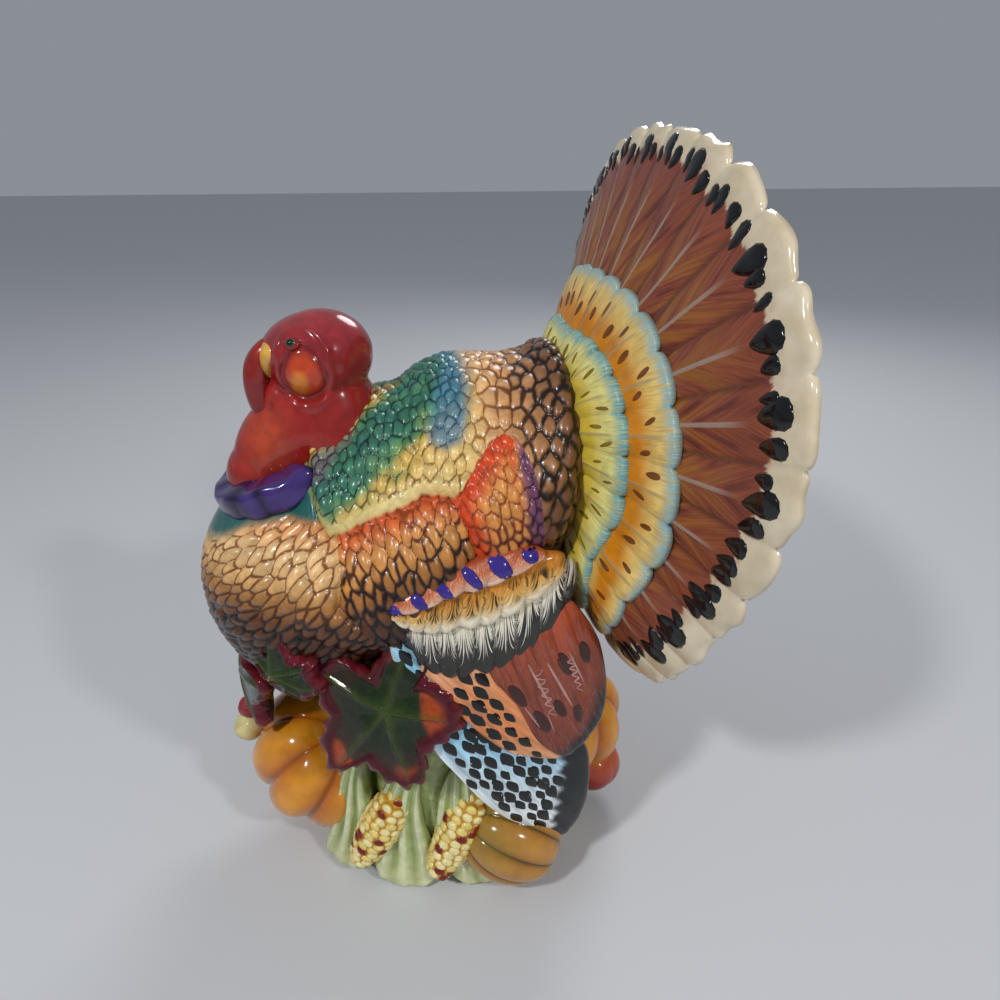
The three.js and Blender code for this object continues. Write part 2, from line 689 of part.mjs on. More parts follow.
// Maize: cobs lean on the mound, tip down, with long husks between them
function cobForm(bearing, topHeight) {
  const tip = moundPlace(bearing, CORN_RADIUS, CORN_RADIUS * 0.8);
  const rise = vec(0, 0, topHeight).sub(vec(0, 0, CORN_RADIUS));
  const top = moundPlace(bearing + 14, CORN_RADIUS + rise.z, CORN_RADIUS * 0.3);
  const line = top.clone().sub(tip).setLength(CORN_LENGTH);
  const cob = new THREE.LineCurve3(tip, tip.clone().add(line));
  return limbForm(10, 6, cob, vec(0, 1, 0), (share) => {
    const girth = CORN_RADIUS * (0.85 + 0.3 * share);
    return { wide: girth, deep: girth };
  });
}

function huskForm(bearing, turnBack) {
  const foot = moundPlace(bearing, HUSK_THICKNESS + 3, HUSK_THICKNESS * 0.6);
  const head = moundPlace(bearing + turnBack, HUSK_LENGTH, HUSK_THICKNESS * 0.5);
  const bow = foot.clone().lerp(head, 0.5).add(moundPlace(bearing, 0).setZ(0).setLength(4));
  const blade = new THREE.QuadraticBezierCurve3(foot, bow, head);
  return limbForm(8, 6, blade, vec(0, 1, 0), () => {
    return { wide: HUSK_WIDTH, deep: HUSK_THICKNESS };
  });
}

setPair('front_cob', 'yellow', [cobForm(-44, CORN_TOP_HEIGHT)]);
setPair('rear_cob', 'yellow', [cobForm(-13, CORN_TOP_HEIGHT)]);
setPair('front_husk', 'sage', [huskForm(-56, 14)]);
setPair('middle_husk', 'sage', [huskForm(-28, 6)]);
setPair('rear_husk', 'sage', [huskForm(6, -10)]);

export default turkey;
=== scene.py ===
"""A hand-painted ceramic turkey on a mound of harvest fruit, under a thick clear glaze.

Working sizes are in millimetres, as on the maker's drawing, and become metres when a piece is made.
The bird faces -Y, its left side is +X, and it stands on the ground at Z 0.
"""
import math

import bmesh
import bpy
import numpy as np
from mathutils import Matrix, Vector
from mathutils.bvhtree import BVHTree
from mathutils.kdtree import KDTree


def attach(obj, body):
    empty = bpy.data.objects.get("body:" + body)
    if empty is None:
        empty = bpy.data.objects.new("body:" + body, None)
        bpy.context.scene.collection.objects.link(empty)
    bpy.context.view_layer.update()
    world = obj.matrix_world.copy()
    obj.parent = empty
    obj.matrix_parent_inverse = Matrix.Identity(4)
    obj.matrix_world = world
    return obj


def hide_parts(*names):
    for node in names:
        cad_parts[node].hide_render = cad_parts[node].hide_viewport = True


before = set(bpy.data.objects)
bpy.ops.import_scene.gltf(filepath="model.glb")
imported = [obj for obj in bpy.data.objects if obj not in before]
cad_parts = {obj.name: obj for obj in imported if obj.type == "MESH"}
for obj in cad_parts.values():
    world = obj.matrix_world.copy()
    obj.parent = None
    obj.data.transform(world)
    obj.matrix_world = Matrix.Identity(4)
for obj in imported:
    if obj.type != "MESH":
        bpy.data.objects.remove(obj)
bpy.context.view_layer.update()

MM = 0.001
SIDES = ((1, "left"), (-1, "right"))

# Body sizes
BREAST_FRONT = -95.0
BREAST_RADIUS = 52.0
BREAST_HEIGHT = 148.0
BREAST_CENTRE = BREAST_FRONT + BREAST_RADIUS
BACK_PLACE = 4.0
BACK_DEPTH = 66.0
BACK_WIDTH = 57.0
RUMP_REAR = 61.0
RUMP_DEPTH = 45.0
RUMP_WIDTH = 47.0
RUMP_EDGE = 9.0
BODY_RISE = 0.58
BODY_RISE_START = 24.0
FLANK_LOBE = {"y": -20.0, "z": 168.0, "along": 40.0, "up": 36.0, "height": 7.0}
HIP_LOBE = {"y": 36.0, "z": 194.0, "along": 22.0, "up": 32.0, "height": 5.0}

# Lines drawn on the bird's side, as places along it and heights
MANTLE_EDGE = [(-60, 240), (-46, 206), (-41, 189), (-37, 184), (-30, 187), (-21, 192), (-12, 196),
               (-2, 201), (5, 202), (12, 200), (24, 196), (38, 175), (46, 160), (61, 150)]
HIP_OUTLINE = [(10, 199), (15, 206), (20, 213), (25, 218.5), (30, 221), (35, 219.5), (39, 213), (41.5, 205),
               (42.5, 197), (44, 186), (46, 170), (36, 163), (19, 174)]
CREASE = [(-60, 60), (-5, 105), (-14, 134), (-28, 150), (-36, 160), (-34, 172), (-35, 183), (-42, 190)]
WING_TOP_LINE = [(-30, 148), (-16, 155), (3, 163), (28, 170), (60, 174)]

# Bands of colour on the left of the cape, as points
GREEN_BAND = [(37, -42, 198), (34, -30, 208), (28, -18, 217), (23, -7, 223), (21, 3, 231), (14, 13, 237),
              (7, 9, 238), (9, -1, 233)]
BLUE_BAND = [(0, 20, 241), (16, 17, 238), (26, 14, 233), (33, 12, 228), (39, 9, 222)]
NECK_LINE = [(30, -41, 205), (24, -36, 210), (20, -29, 216)]

# Steps in the casting
SADDLE_START = 21.0
CAPE_ROLL = 3.2
CAPE_STEP = 2.6
CAPE_UNDERCUT = 1.5
COLLAR_HEIGHT = 11.0
HIP_STEP = 2.4
CREASE_DEPTH = 2.4

# The feather coat: its zones, the half lengths, half widths and slants of their feathers, and the carving
CHEST, FLANK, MANTLE, HIP = range(4)
FEATHER_SIZES = {CHEST: (5.2, 2.45), FLANK: (5.0, 2.4), MANTLE: (3.8, 2.3), HIP: (3.6, 2.1)}
FEATHER_SLANTS = {FLANK: 0.22, MANTLE: -0.15, HIP: 0.35}
FEATHER_TRIES = 24000
FEATHER_SPACING = 0.66
COAT_STEP = 0.50
COAT_COLUMNS = 560
COAT_LAP = 1.2
COAT_END_SINK = 5.0
COAT_BANDS = [("breast_feathers", BREAST_FRONT, -44.0), ("middle_feathers", -44.0, 11.0),
              ("rump_feathers", 11.0, RUMP_REAR)]

# Neck ruff sizes
RUFF_MIDDLE = np.array([0, -55.0, 196.0])
RUFF_WIDE = 28.5
RUFF_LONG = 26.5
RUFF_TILT = math.radians(22)
RUFF_FILL = 15.0

# Tail sizes
TAIL_HUB_HEIGHT = 208.0
FAN_PITCH = 12.0
FAN_SPREAD = 150.0
FAN_TOP_REACH = 127.0
FAN_WIDE_REACH = 144.0
FAN_LOW_REACH = 121.0
FAN_WIDEST = 66.0
FAN_LOWEST = 120.0
FAN_SWEEP = math.radians(72.0)
FAN_THICKNESS = 4.5
FAN_SCALLOP = 3.5
FAN_TUCK = 12.0
COVERTS_WIDEST = 80.0
COVERTS_STEP = 4.0
COVERTS_PITCH = 15.0
COVERTS_SCALLOP = 3.6
OUTER_COVERTS = {"hub": RUMP_REAR - COVERTS_STEP, "reach": 90.0, "top": 0.78, "low": 1.09}
INNER_COVERTS = {"hub": RUMP_REAR - 2 * COVERTS_STEP, "reach": 68.0, "top": 0.68, "low": 1.26}

# Wing, mound and maize sizes
WING_TOP = 170.0
WING_TIP_HEIGHT = 22.0
WING_BULGE = 15.0
WING_LAYER = 3.5
WING_FACE = 66.0
ROW_BACKING = 12.0
QUILL_BACKING = 26.0
QUILL_PITCH = 9.0
BASE_WIDTH = 104.0
BASE_LENGTH = 136.0
BASE_HEIGHT = 122.0
BASE_SHIFT = 12.0
BASE_WAIST = 0.82
STRAW_BUNDLE = 4.2
STRAW_VEIN = 0.7
STRAW_SINK = 4.4
COB_LENGTH = 47.0
COB_GIRTH = 10.2
KERNEL_LONG = 2.35
KERNEL_WIDE = 3.0
KERNEL_DEEP = 1.9
KERNEL_BEND = 40.0

# Camera and lamps: places in metres, turns in degrees, the lens in millimetres and power in watts
CAMERA_PLACE = (0.3135, -0.0187, 0.320)
CAMERA_DOWN = 24.69
CAMERA_TURN = 80
CAMERA_LENS = 27.72
LAMPS = [("key", (0.75, -0.75, 1.15), 0.14, 9.0), ("side", (0.95, 0.65, 0.95), 0.12, 5.0),
         ("rear", (-0.9, 0.5, 0.9), 0.5, 4.0)]
LAMP_AIM = (0, 0, 0.17)


# Small maths
def smooth(low, high, value):
    share = np.clip((value - low) / (high - low), 0.0, 1.0)
    return share * share * (3.0 - 2.0 * share)


def mix(low, high, share):
    return low + (high - low) * share


def blunt(value, power):
    """A signed power, for corners between round and square."""
    return np.sign(value) * np.abs(value) ** power


def unit(vectors):
    length = np.linalg.norm(vectors, axis=-1, keepdims=True)
    return vectors / np.maximum(length, 1e-9)


def tint(code):
    """A linear colour from the six-figure code of a glaze chip."""
    parts = np.array([int(code[i:i + 2], 16) for i in (0, 2, 4)]) / 255.0
    return np.where(parts <= 0.04045, parts / 12.92, ((parts + 0.055) / 1.055) ** 2.4)


def blend_paint(below, above, share):
    """One paint brushed over another, point by point."""
    return mix(below, above, np.asarray(share)[:, None])


def paint_run(value, stops, codes):
    """Paints shading into one another along a value."""
    chips = np.array([tint(code) for code in codes])
    return np.stack([np.interp(value, stops, chips[:, i]) for i in range(3)], axis=1)


def run(points, share):
    """A smooth open line through points, at shares of the way along it."""
    points = np.asarray(points, float)
    first = 2 * points[0] - points[1]
    last = 2 * points[-1] - points[-2]
    return spline(np.vstack([first, points, last]), len(points) - 1, np.clip(share, 0, 1))


def loop(points, share):
    """A smooth closed line through points."""
    points = np.asarray(points, float)
    ring = np.vstack([points[-1], points, points[0], points[1]])
    return spline(ring, len(points), np.mod(share, 1.0))


def spline(points, spans, share):
    place = share * spans
    index = np.minimum(place.astype(int), spans - 1)
    t = (place - index)[:, None]
    a, b, c, d = (points[index + k] for k in range(4))
    curve = (2 * a - 5 * b + 4 * c - d) * t ** 2 + (3 * b - a - 3 * c + d) * t ** 3
    return 0.5 * (2 * b + (c - a) * t + curve)


def off_line(points, line):
    """How far points lie from a chain of straight pieces."""
    line = np.asarray(line, float)
    start = line[:-1]
    span = line[1:] - start
    gap = points[:, None, :] - start
    share = np.clip((gap * span).sum(-1) / (span ** 2).sum(-1), 0, 1)
    return np.linalg.norm(gap - share[..., None] * span, axis=-1).min(axis=1)


def inside(points, outline):
    """How far points lie inside a closed flat outline; outside counts below nothing."""
    outline = np.asarray(outline, float)
    ends = np.roll(outline, -1, axis=0)
    distance = off_line(points, np.vstack([outline, outline[:1]]))
    low = outline[:, 1] <= points[:, 1:2]
    crosses = low != (ends[:, 1] <= points[:, 1:2])
    rise = np.where(ends[:, 1] == outline[:, 1], 1e-9, ends[:, 1] - outline[:, 1])
    meets = outline[:, 0] + (points[:, 1:2] - outline[:, 1]) / rise * (ends[:, 0] - outline[:, 0])
    within = ((points[:, 0:1] < meets) & crosses).sum(axis=1) % 2 == 1
    return np.where(within, distance, -distance)


def wobble(points, size, seed):
    """A gentle hand-made unevenness, between about -1 and 1."""
    draw = np.random.default_rng(seed)
    waves = draw.normal(size=(8, 3)) / size
    return np.sin(points @ waves.T + draw.uniform(0, 6.28, 8)).mean(axis=1) * 1.8


# Making pieces
def ball(columns, rows):
    """A unit ball, with the turn about Z and the lift of each of its points."""
    form = bmesh.new()
    step = math.pi / rows
    bmesh.ops.create_circle(form, cap_ends=True, cap_tris=True, segments=columns, radius=math.sin(step))
    for vertex in form.verts:
        vertex.co.z = -math.cos(step) if vertex.co.xy.length > 1e-9 else -1.0
    ring = [edge for edge in form.edges if edge.is_boundary]
    for row in range(2, rows):
        made = bmesh.ops.extrude_edge_only(form, edges=ring)["geom"]
        ring = [item for item in made if isinstance(item, bmesh.types.BMEdge)]
        grow = math.sin(row * step) / math.sin((row - 1) * step)
        for vertex in made:
            if isinstance(vertex, bmesh.types.BMVert):
                vertex.co = (vertex.co.x * grow, vertex.co.y * grow, -math.cos(row * step))
    cap = bmesh.ops.contextual_create(form, geom=ring)["faces"]
    pole = bmesh.ops.poke(form, faces=cap)["verts"][0]
    pole.co = (0, 0, 1)
    points = np.array([vertex.co[:] for vertex in form.verts])
    lift = np.arcsin(np.clip(points[:, 2], -1, 1))
    return form, np.arctan2(points[:, 1], points[:, 0]), lift


def plate_grid(columns, front_rows, back_rows):
    """A ball pressed into a plate: turn, share of the way out to the rim, and whether in front."""
    rows = front_rows + back_rows
    form, turn, lift = ball(columns, rows)
    depth = 0.5 + lift / math.pi
    back = back_rows / rows
    front = depth >= back - 1e-6
    step = np.clip(np.where(front, (1 - depth) / (1 - back), depth / back), 0, 1)
    return form, turn, step * (1.3 - 0.3 * step), front


def cushion(out):
    """The rounded edge profile of a plate."""
    return np.maximum(0, 1 - out ** 2) ** 0.3


def enclosed(mesh):
    """The signed space inside a mesh, which is below nothing when its faces point inwards."""
    mesh.calc_loop_triangles()
    corners = np.zeros(len(mesh.loop_triangles) * 3, np.int32)
    mesh.loop_triangles.foreach_get("vertices", corners)
    points = np.zeros(len(mesh.vertices) * 3)
    mesh.vertices.foreach_get("co", points)
    a, b, c = np.moveaxis(points.reshape(-1, 3)[corners.reshape(-1, 3)], 1, 0)
    return np.einsum("ij,ij->i", a - points[:3], np.cross(b - points[:3], c - points[:3])).sum()


def mark_mesh(mesh, label, values):
    """Writes a value or a paint for each point, which the glazes read."""
    values = np.asarray(values, np.float32)
    if values.ndim == 1:
        mesh.attributes.new(label, "FLOAT", "POINT").data.foreach_set("value", values)
    else:
        mesh.attributes.new(label, "FLOAT_VECTOR", "POINT").data.foreach_set("vector", values.ravel())


def piece(name, form, places, glaze, slot, nodes=(), **marks):
    """Sets a form's points in place, glazes it and seats it on the object."""
    mesh = bpy.data.meshes.new(name)
    form.to_mesh(mesh)
    mesh.vertices.foreach_set("co", (np.asarray(places) * MM).astype(np.float32).ravel())
    if enclosed(mesh) < 0:
        mesh.flip_normals()
    for label, values in marks.items():
        mark_mesh(mesh, label, values)
    mesh.shade_smooth()
    mesh.materials.append(glaze)
    mesh.update()
    made = bpy.data.objects.new(name, mesh)
    bpy.context.scene.collection.objects.link(made)
    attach(made, "root")
    if nodes:
        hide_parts(*nodes)
    return made


def pair(name, form, places, glaze, slot, **marks):
    """A piece on the left and its mirror image on the right."""
    made = []
    for side, word in SIDES:
        node = f"{word}_{name}"
        known = (node,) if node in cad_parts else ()
        flipped = places * np.array([side, 1, 1])
        made.append(piece(node, form, flipped, glaze, slot, known, **marks))
    return made


def limb(line, side, wide, deep, columns, rows):
    """A rounded bar along a smooth line; wide and deep give its half girths along the way."""
    form, turn, lift = ball(columns, rows)
    share = (1 + np.sin(lift)) / 2
    place = run(line, share)
    tangent = unit(run(line, share + 0.01) - run(line, share - 0.01))
    side = np.asarray(side, float)
    across = unit(side - (tangent @ side)[:, None] * tangent)
    thick = np.cross(tangent, across)
    round_off = np.cos(lift) ** 0.8
    place = place + across * (wide(share) * round_off * np.cos(turn))[:, None]
    place = place + thick * (deep(share) * round_off * np.sin(turn))[:, None]
    return form, place, share


def strewn(form, count):
    """One small form repeated, for kernels and dabs that share a mesh."""
    seed_mesh = bpy.data.meshes.new("seed")
    form.to_mesh(seed_mesh)
    many = bmesh.new()
    for _ in range(count):
        many.from_mesh(seed_mesh)
    bpy.data.meshes.remove(seed_mesh)
    return many


def surface_of(made):
    """A finished piece's surface, to lay marks and sprigs on."""
    mesh = made.data
    places = [vertex.co.copy() for vertex in mesh.vertices]
    return BVHTree.FromPolygons(places, [tuple(face.vertices) for face in mesh.polygons])


def touch(surface, place, facing):
    """Where a point dropped against a facing meets a surface, and the normal there, in millimetres."""
    way = Vector(facing).normalized()
    start = Vector(place * MM) + way * 0.06
    spot, normal, _, _ = surface.ray_cast(start, -way)
    if spot is None:
        spot, normal, _, _ = surface.find_nearest(Vector(place * MM))
    return np.array(spot) / MM, np.array(normal)


def dabs(name, carrier, spots, glaze, slot, rise, taper, corner=1.0):
    """Thick dabs of colour brushed on a carrier.

    A spot is a centre, the way it points, its facing, a half length and a half width.
    """
    form, turn, lift = ball(columns=14, rows=6)
    long = np.cos(lift) * blunt(np.cos(turn), corner)
    wide = np.cos(lift) * blunt(np.sin(turn), corner) * (1 - taper * np.cos(turn))
    surface = surface_of(carrier)
    places = []
    for centre, way, facing, half_long, half_wide in spots:
        way = unit(np.asarray(way, float))
        side = unit(np.cross(facing, way))
        for a, b, height in zip(half_long * long, half_wide * wide, np.sin(lift)):
            spot, normal = touch(surface, np.asarray(centre, float) + a * way + b * side, facing)
            places.append(spot + normal * height * rise)
    many = strewn(form, len(spots))
    piece(name, many, np.array(places), glaze, slot)


# Glazes
class Glaze:
    """A glossy fired finish: one shader, and short words for the nodes that colour it."""

    def __init__(self, name, roughness=0.16):
        self.material = bpy.data.materials.new(name)
        self.material.use_nodes = True
        self.tree = self.material.node_tree
        self.shader = self.tree.nodes["Principled BSDF"]
        self.shader.inputs["Roughness"].default_value = roughness
        self.shader.inputs["Specular IOR Level"].default_value = 0.42
        self.shader.inputs["Coat Weight"].default_value = 0.25
        self.shader.inputs["Coat Roughness"].default_value = 0.04

    def feed(self, socket, value):
        if isinstance(value, bpy.types.NodeSocket):
            self.tree.links.new(value, socket)
        elif np.ndim(value) == 0:
            socket.default_value = value
        else:
            socket.default_value = (*value, 1.0) if socket.type == "RGBA" else tuple(value)

    def node(self, kind, **settings):
        made = self.tree.nodes.new(kind)
        for key, value in settings.items():
            setattr(made, key, value)
        return made

    def attribute(self, label):
        return self.node("ShaderNodeAttribute", attribute_name=label).outputs

    def parts(self, vector):
        split = self.node("ShaderNodeSeparateXYZ")
        self.feed(split.inputs[0], vector)
        return split.outputs

    def vector(self, x, y, z=0.0):
        joined = self.node("ShaderNodeCombineXYZ")
        for socket, value in zip(joined.inputs, (x, y, z)):
            self.feed(socket, value)
        return joined.outputs[0]

    def maths(self, operation, first, second=0.0):
        made = self.node("ShaderNodeMath", operation=operation)
        self.feed(made.inputs[0], first)
        self.feed(made.inputs[1], second)
        return made.outputs[0]

    def times(self, first, second):
        return self.maths("MULTIPLY", first, second)

    def plus(self, first, second):
        return self.maths("ADD", first, second)

    def step(self, value, low, high):
        made = self.node("ShaderNodeMapRange", interpolation_type="SMOOTHSTEP")
        self.feed(made.inputs[0], value)
        self.feed(made.inputs[1], low)
        self.feed(made.inputs[2], high)
        return made.outputs[0]

    def noise(self, scale, vector=None, detail=3.0, twist=0.0):
        made = self.node("ShaderNodeTexNoise")
        if vector is None:
            vector = self.node("ShaderNodeTexCoord").outputs["Object"]
        self.feed(made.inputs["Vector"], vector)
        self.feed(made.inputs["Scale"], scale)
        self.feed(made.inputs["Detail"], detail)
        self.feed(made.inputs["Distortion"], twist)
        return made.outputs["Fac"]

    def drawn_out(self, along, across, layer=0.0, detail=3.0):
        """Noise drawn out along a piece's own marks, as a brush leaves it."""
        return self.noise(1.0, self.vector(along, across, layer), detail)

    def mix(self, share, below, above):
        made = self.node("ShaderNodeMix", data_type="RGBA")
        self.feed(made.inputs[0], share)
        self.feed(made.inputs[6], below)
        self.feed(made.inputs[7], above)
        return made.outputs[2]

    def shade(self, colour, share, amount):
        """Darkens and lightens a colour a little, by a share around one half."""
        made = self.node("ShaderNodeHueSaturation")
        level = self.node("ShaderNodeMapRange")
        self.feed(level.inputs[0], share)
        self.feed(level.inputs[1], 0.25)
        self.feed(level.inputs[2], 0.75)
        self.feed(level.inputs[3], 1.0 - amount)
        self.feed(level.inputs[4], 1.0 + amount)
        self.feed(made.inputs["Value"], level.outputs[0])
        self.feed(made.inputs["Color"], colour)
        return made.outputs[0]

    def relief(self, height, strength, distance):
        made = self.node("ShaderNodeBump")
        made.inputs["Strength"].default_value = strength
        made.inputs["Distance"].default_value = distance
        self.feed(made.inputs["Height"], height)
        self.tree.links.new(made.outputs[0], self.shader.inputs["Normal"])

    def done(self, colour):
        self.feed(self.shader.inputs["Base Color"], colour)
        return self.material


def painted_glaze(name, brush, amount, ripple):
    """Paint that follows a piece's own marks, with the unevenness of a loaded brush."""
    glaze = Glaze(name)
    strokes = glaze.noise(brush, detail=4.0, twist=0.6)
    colour = glaze.shade(glaze.attribute("paint")["Color"], strokes, amount)
    glaze.relief(glaze.noise(brush * 0.7, detail=2.0), strength=ripple, distance=0.0008)
    return glaze.done(colour)


def feather_glaze(name):
    """Scales wiped clean on their crowns, with dark wash left in the grooves between them."""
    glaze = Glaze(name, roughness=0.28)
    glaze.shader.inputs["Coat Weight"].default_value = 0.12
    crown = glaze.attribute("crown")["Fac"]
    strokes = glaze.noise(330.0, detail=4.0, twist=0.8)
    wander = glaze.times(strokes, 0.30)
    edge = glaze.step(glaze.plus(crown, wander), 0.30, 0.88)
    paint = glaze.shade(glaze.attribute("paint")["Color"], strokes, 0.22)
    glaze.relief(strokes, strength=0.10, distance=0.0006)
    return glaze.done(glaze.mix(edge, glaze.attribute("ink")["Color"], paint))


def plain_glaze(name, code, spread):
    """One glaze laid by brush, thin in places and pooled in others."""
    glaze = Glaze(name, roughness=0.12)
    strokes = glaze.noise(200.0, detail=3.0, twist=0.5)
    return glaze.done(glaze.shade(tint(code), strokes, spread))


def fan_glaze():
    """Tail feathers: red-brown vanes streaked with ochre, pale shafts and a cream rim."""
    glaze = Glaze("tail_fan_glaze")
    barb, aside, feather = glaze.parts(glaze.attribute("barbs")["Vector"])
    rim, share, across = glaze.parts(glaze.attribute("vane")["Vector"])
    streaks = glaze.drawn_out(glaze.times(barb, 0.62), glaze.times(aside, 0.10), feather, detail=4.0)
    patches = glaze.drawn_out(glaze.times(barb, 0.10), glaze.times(aside, 0.08), feather, detail=2.0)
    red = glaze.shade(glaze.mix(streaks, tint("742f20"), tint("9c5038")), streaks, 0.2)
    ochre = glaze.shade(glaze.mix(streaks, tint("8a5220"), tint("ae6e2c")), streaks, 0.15)
    inner = glaze.step(share, 0.92, 0.60)
    warm = glaze.times(inner, glaze.step(patches, 0.38, 0.58))
    vane = glaze.mix(warm, red, ochre)
    dark = glaze.times(glaze.step(patches, 0.40, 0.30), 0.6)
    vane = glaze.mix(dark, vane, tint("4a1f12"))
    dusk = glaze.times(glaze.step(across, 0.80, 1.0), 0.5)
    vane = glaze.mix(dusk, vane, tint("4a2118"))
    fine = glaze.step(glaze.plus(across, glaze.times(streaks, 0.05)), 0.13, 0.08)
    reach = glaze.times(glaze.step(share, 0.84, 0.74), 0.85)
    vane = glaze.mix(glaze.times(fine, reach), vane, tint("a89284"))
    ragged = glaze.times(streaks, 5.0)
    cream = glaze.step(glaze.plus(rim, ragged), 3.4, 1.6)
    mottle = glaze.noise(90.0, detail=3.0)
    clay = glaze.shade(glaze.mix(mottle, tint("cdb890"), tint("ece0c8")), mottle, 0.08)
    smear = glaze.times(glaze.step(rim, -7.0, 0.0), glaze.step(mottle, 0.50, 0.62))
    clay = glaze.mix(glaze.times(smear, 0.55), clay, tint("a8684a"))
    ridges = glaze.times(streaks, glaze.step(rim, -1.0, 3.0))
    glaze.relief(ridges, strength=0.55, distance=0.0012)
    return glaze.done(glaze.mix(cream, vane, clay))


def coverts_glaze(name, root, middle, outer, fringe):
    """Short tail feathers: warm at the root, pale near the edge, with a brushed blue fringe."""
    glaze = Glaze(name)
    rim, _, across = glaze.parts(glaze.attribute("vane")["Vector"])
    angle = glaze.attribute("angle")["Fac"]
    strokes = glaze.drawn_out(glaze.times(angle, 1.5), glaze.times(rim, 0.06), detail=3.0)
    patches = glaze.noise(120.0, detail=3.0, twist=0.6)
    far = glaze.plus(rim, glaze.times(strokes, 9.0))
    colour = glaze.mix(glaze.step(far, 24.0, 12.0), tint(middle), tint(outer))
    colour = glaze.mix(glaze.step(rim, 26.0, 36.0), colour, tint(root))
    colour = glaze.shade(colour, patches, 0.18)
    lines = glaze.times(glaze.step(strokes, 0.46, 0.40), glaze.step(far, 22.0, 8.0))
    colour = glaze.mix(glaze.times(lines, 0.35), colour, tint("8a5a1c"))
    blue = glaze.times(glaze.step(far, 12.0, 6.0), glaze.step(strokes, 0.40, 0.50))
    colour = glaze.mix(glaze.times(blue, 0.9), colour, tint(fringe))
    shaft = glaze.times(glaze.step(across, 0.10, 0.05), glaze.step(rim, 5.0, 9.0))
    colour = glaze.mix(glaze.times(shaft, 0.6), colour, tint("a89a78"))
    glaze.relief(strokes, strength=0.5, distance=0.0009)
    return glaze.done(colour)


def row_glaze(name, stops, codes, hair=None, hair_from=0.5, hair_amount=0.0, speckle=0.0):
    """A covert row painted from its top edge to its lower edge, with hair strokes or speckles."""
    glaze = Glaze(name)
    along, down, lobe = glaze.parts(glaze.attribute("row")["Vector"])
    fanned = glaze.times(glaze.times(down, lobe), -5.5)
    slant = glaze.plus(along, fanned)
    strokes = glaze.drawn_out(glaze.times(slant, 4.6), glaze.times(down, 1.5), detail=2.0)
    lobe = glaze.maths("ABSOLUTE", lobe)
    wash = glaze.plus(down, glaze.times(strokes, 0.5))
    wash = glaze.maths("SUBTRACT", wash, 0.25)
    ramp = glaze.node("ShaderNodeValToRGB")
    glaze.feed(ramp.inputs[0], wash)
    elements = ramp.color_ramp.elements
    while len(elements) < len(stops):
        elements.new(0.5)
    for element, stop, code in zip(elements, stops, codes):
        element.position = stop
        element.color = (*tint(code), 1.0)
    colour = glaze.shade(ramp.outputs[0], strokes, 0.15)
    if hair:
        far = glaze.plus(down, glaze.times(strokes, 2.0))
        parting = glaze.times(glaze.step(lobe, 0.70, 1.0), 0.25)
        cover = glaze.step(glaze.plus(far, parting), hair_from + 0.92, hair_from + 1.12)
        colour = glaze.mix(glaze.times(cover, hair_amount), colour, tint(hair))
    if speckle:
        patches = glaze.noise(150.0, detail=1.0)
        band = glaze.times(glaze.step(lobe, 0.85, 0.4), glaze.step(down, 0.15, 0.4))
        band = glaze.times(band, glaze.step(down, 0.80, 0.6))
        band = glaze.times(band, glaze.step(patches, 0.40, 0.48))
        band = glaze.times(band, glaze.step(strokes, 0.45, 0.53))
        colour = glaze.mix(glaze.times(band, speckle), colour, tint("1a1009"))
    glaze.relief(strokes, strength=0.5, distance=0.0009)
    return glaze.done(colour)


def quill_glaze(name, pale_lines=0.0):
    """Wing quills: paint laid along the feather in long brush strokes."""
    glaze = Glaze(name)
    along, aside, _ = glaze.parts(glaze.attribute("quill")["Vector"])
    strokes = glaze.drawn_out(glaze.times(along, 0.05), glaze.times(aside, 0.55), detail=4.0)
    patches = glaze.drawn_out(glaze.times(along, 0.05), glaze.times(aside, 0.16), 4.0, detail=2.0)
    colour = glaze.shade(glaze.attribute("paint")["Color"], strokes, 0.3)
    colour = glaze.shade(colour, patches, 0.25)
    if pale_lines:
        line = glaze.step(glaze.maths("ABSOLUTE", glaze.maths("SUBTRACT", strokes, 0.5)), 0.02, 0.0)
        colour = glaze.mix(glaze.times(line, pale_lines), colour, tint("b98a7c"))
    glaze.relief(strokes, strength=0.35, distance=0.0008)
    return glaze.done(colour)


def leaf_glaze():
    """Autumn leaf: olive and green middle, orange lobes, burgundy margin, combed by the brush."""
    glaze = Glaze("autumn_leaf_glaze", roughness=0.1)
    glaze.shader.inputs["Specular IOR Level"].default_value = 0.3
    glaze.shader.inputs["Coat Weight"].default_value = 0.1
    strokes = glaze.noise(420.0, detail=4.0, twist=1.0)
    patches = glaze.noise(110.0, detail=2.0)
    colour = glaze.shade(glaze.attribute("paint")["Color"], strokes, 0.3)
    dusk = glaze.times(glaze.step(patches, 0.52, 0.66), 0.35)
    colour = glaze.mix(dusk, colour, tint("1d2a10"))
    glaze.relief(strokes, strength=0.15, distance=0.0006)
    return glaze.done(colour)


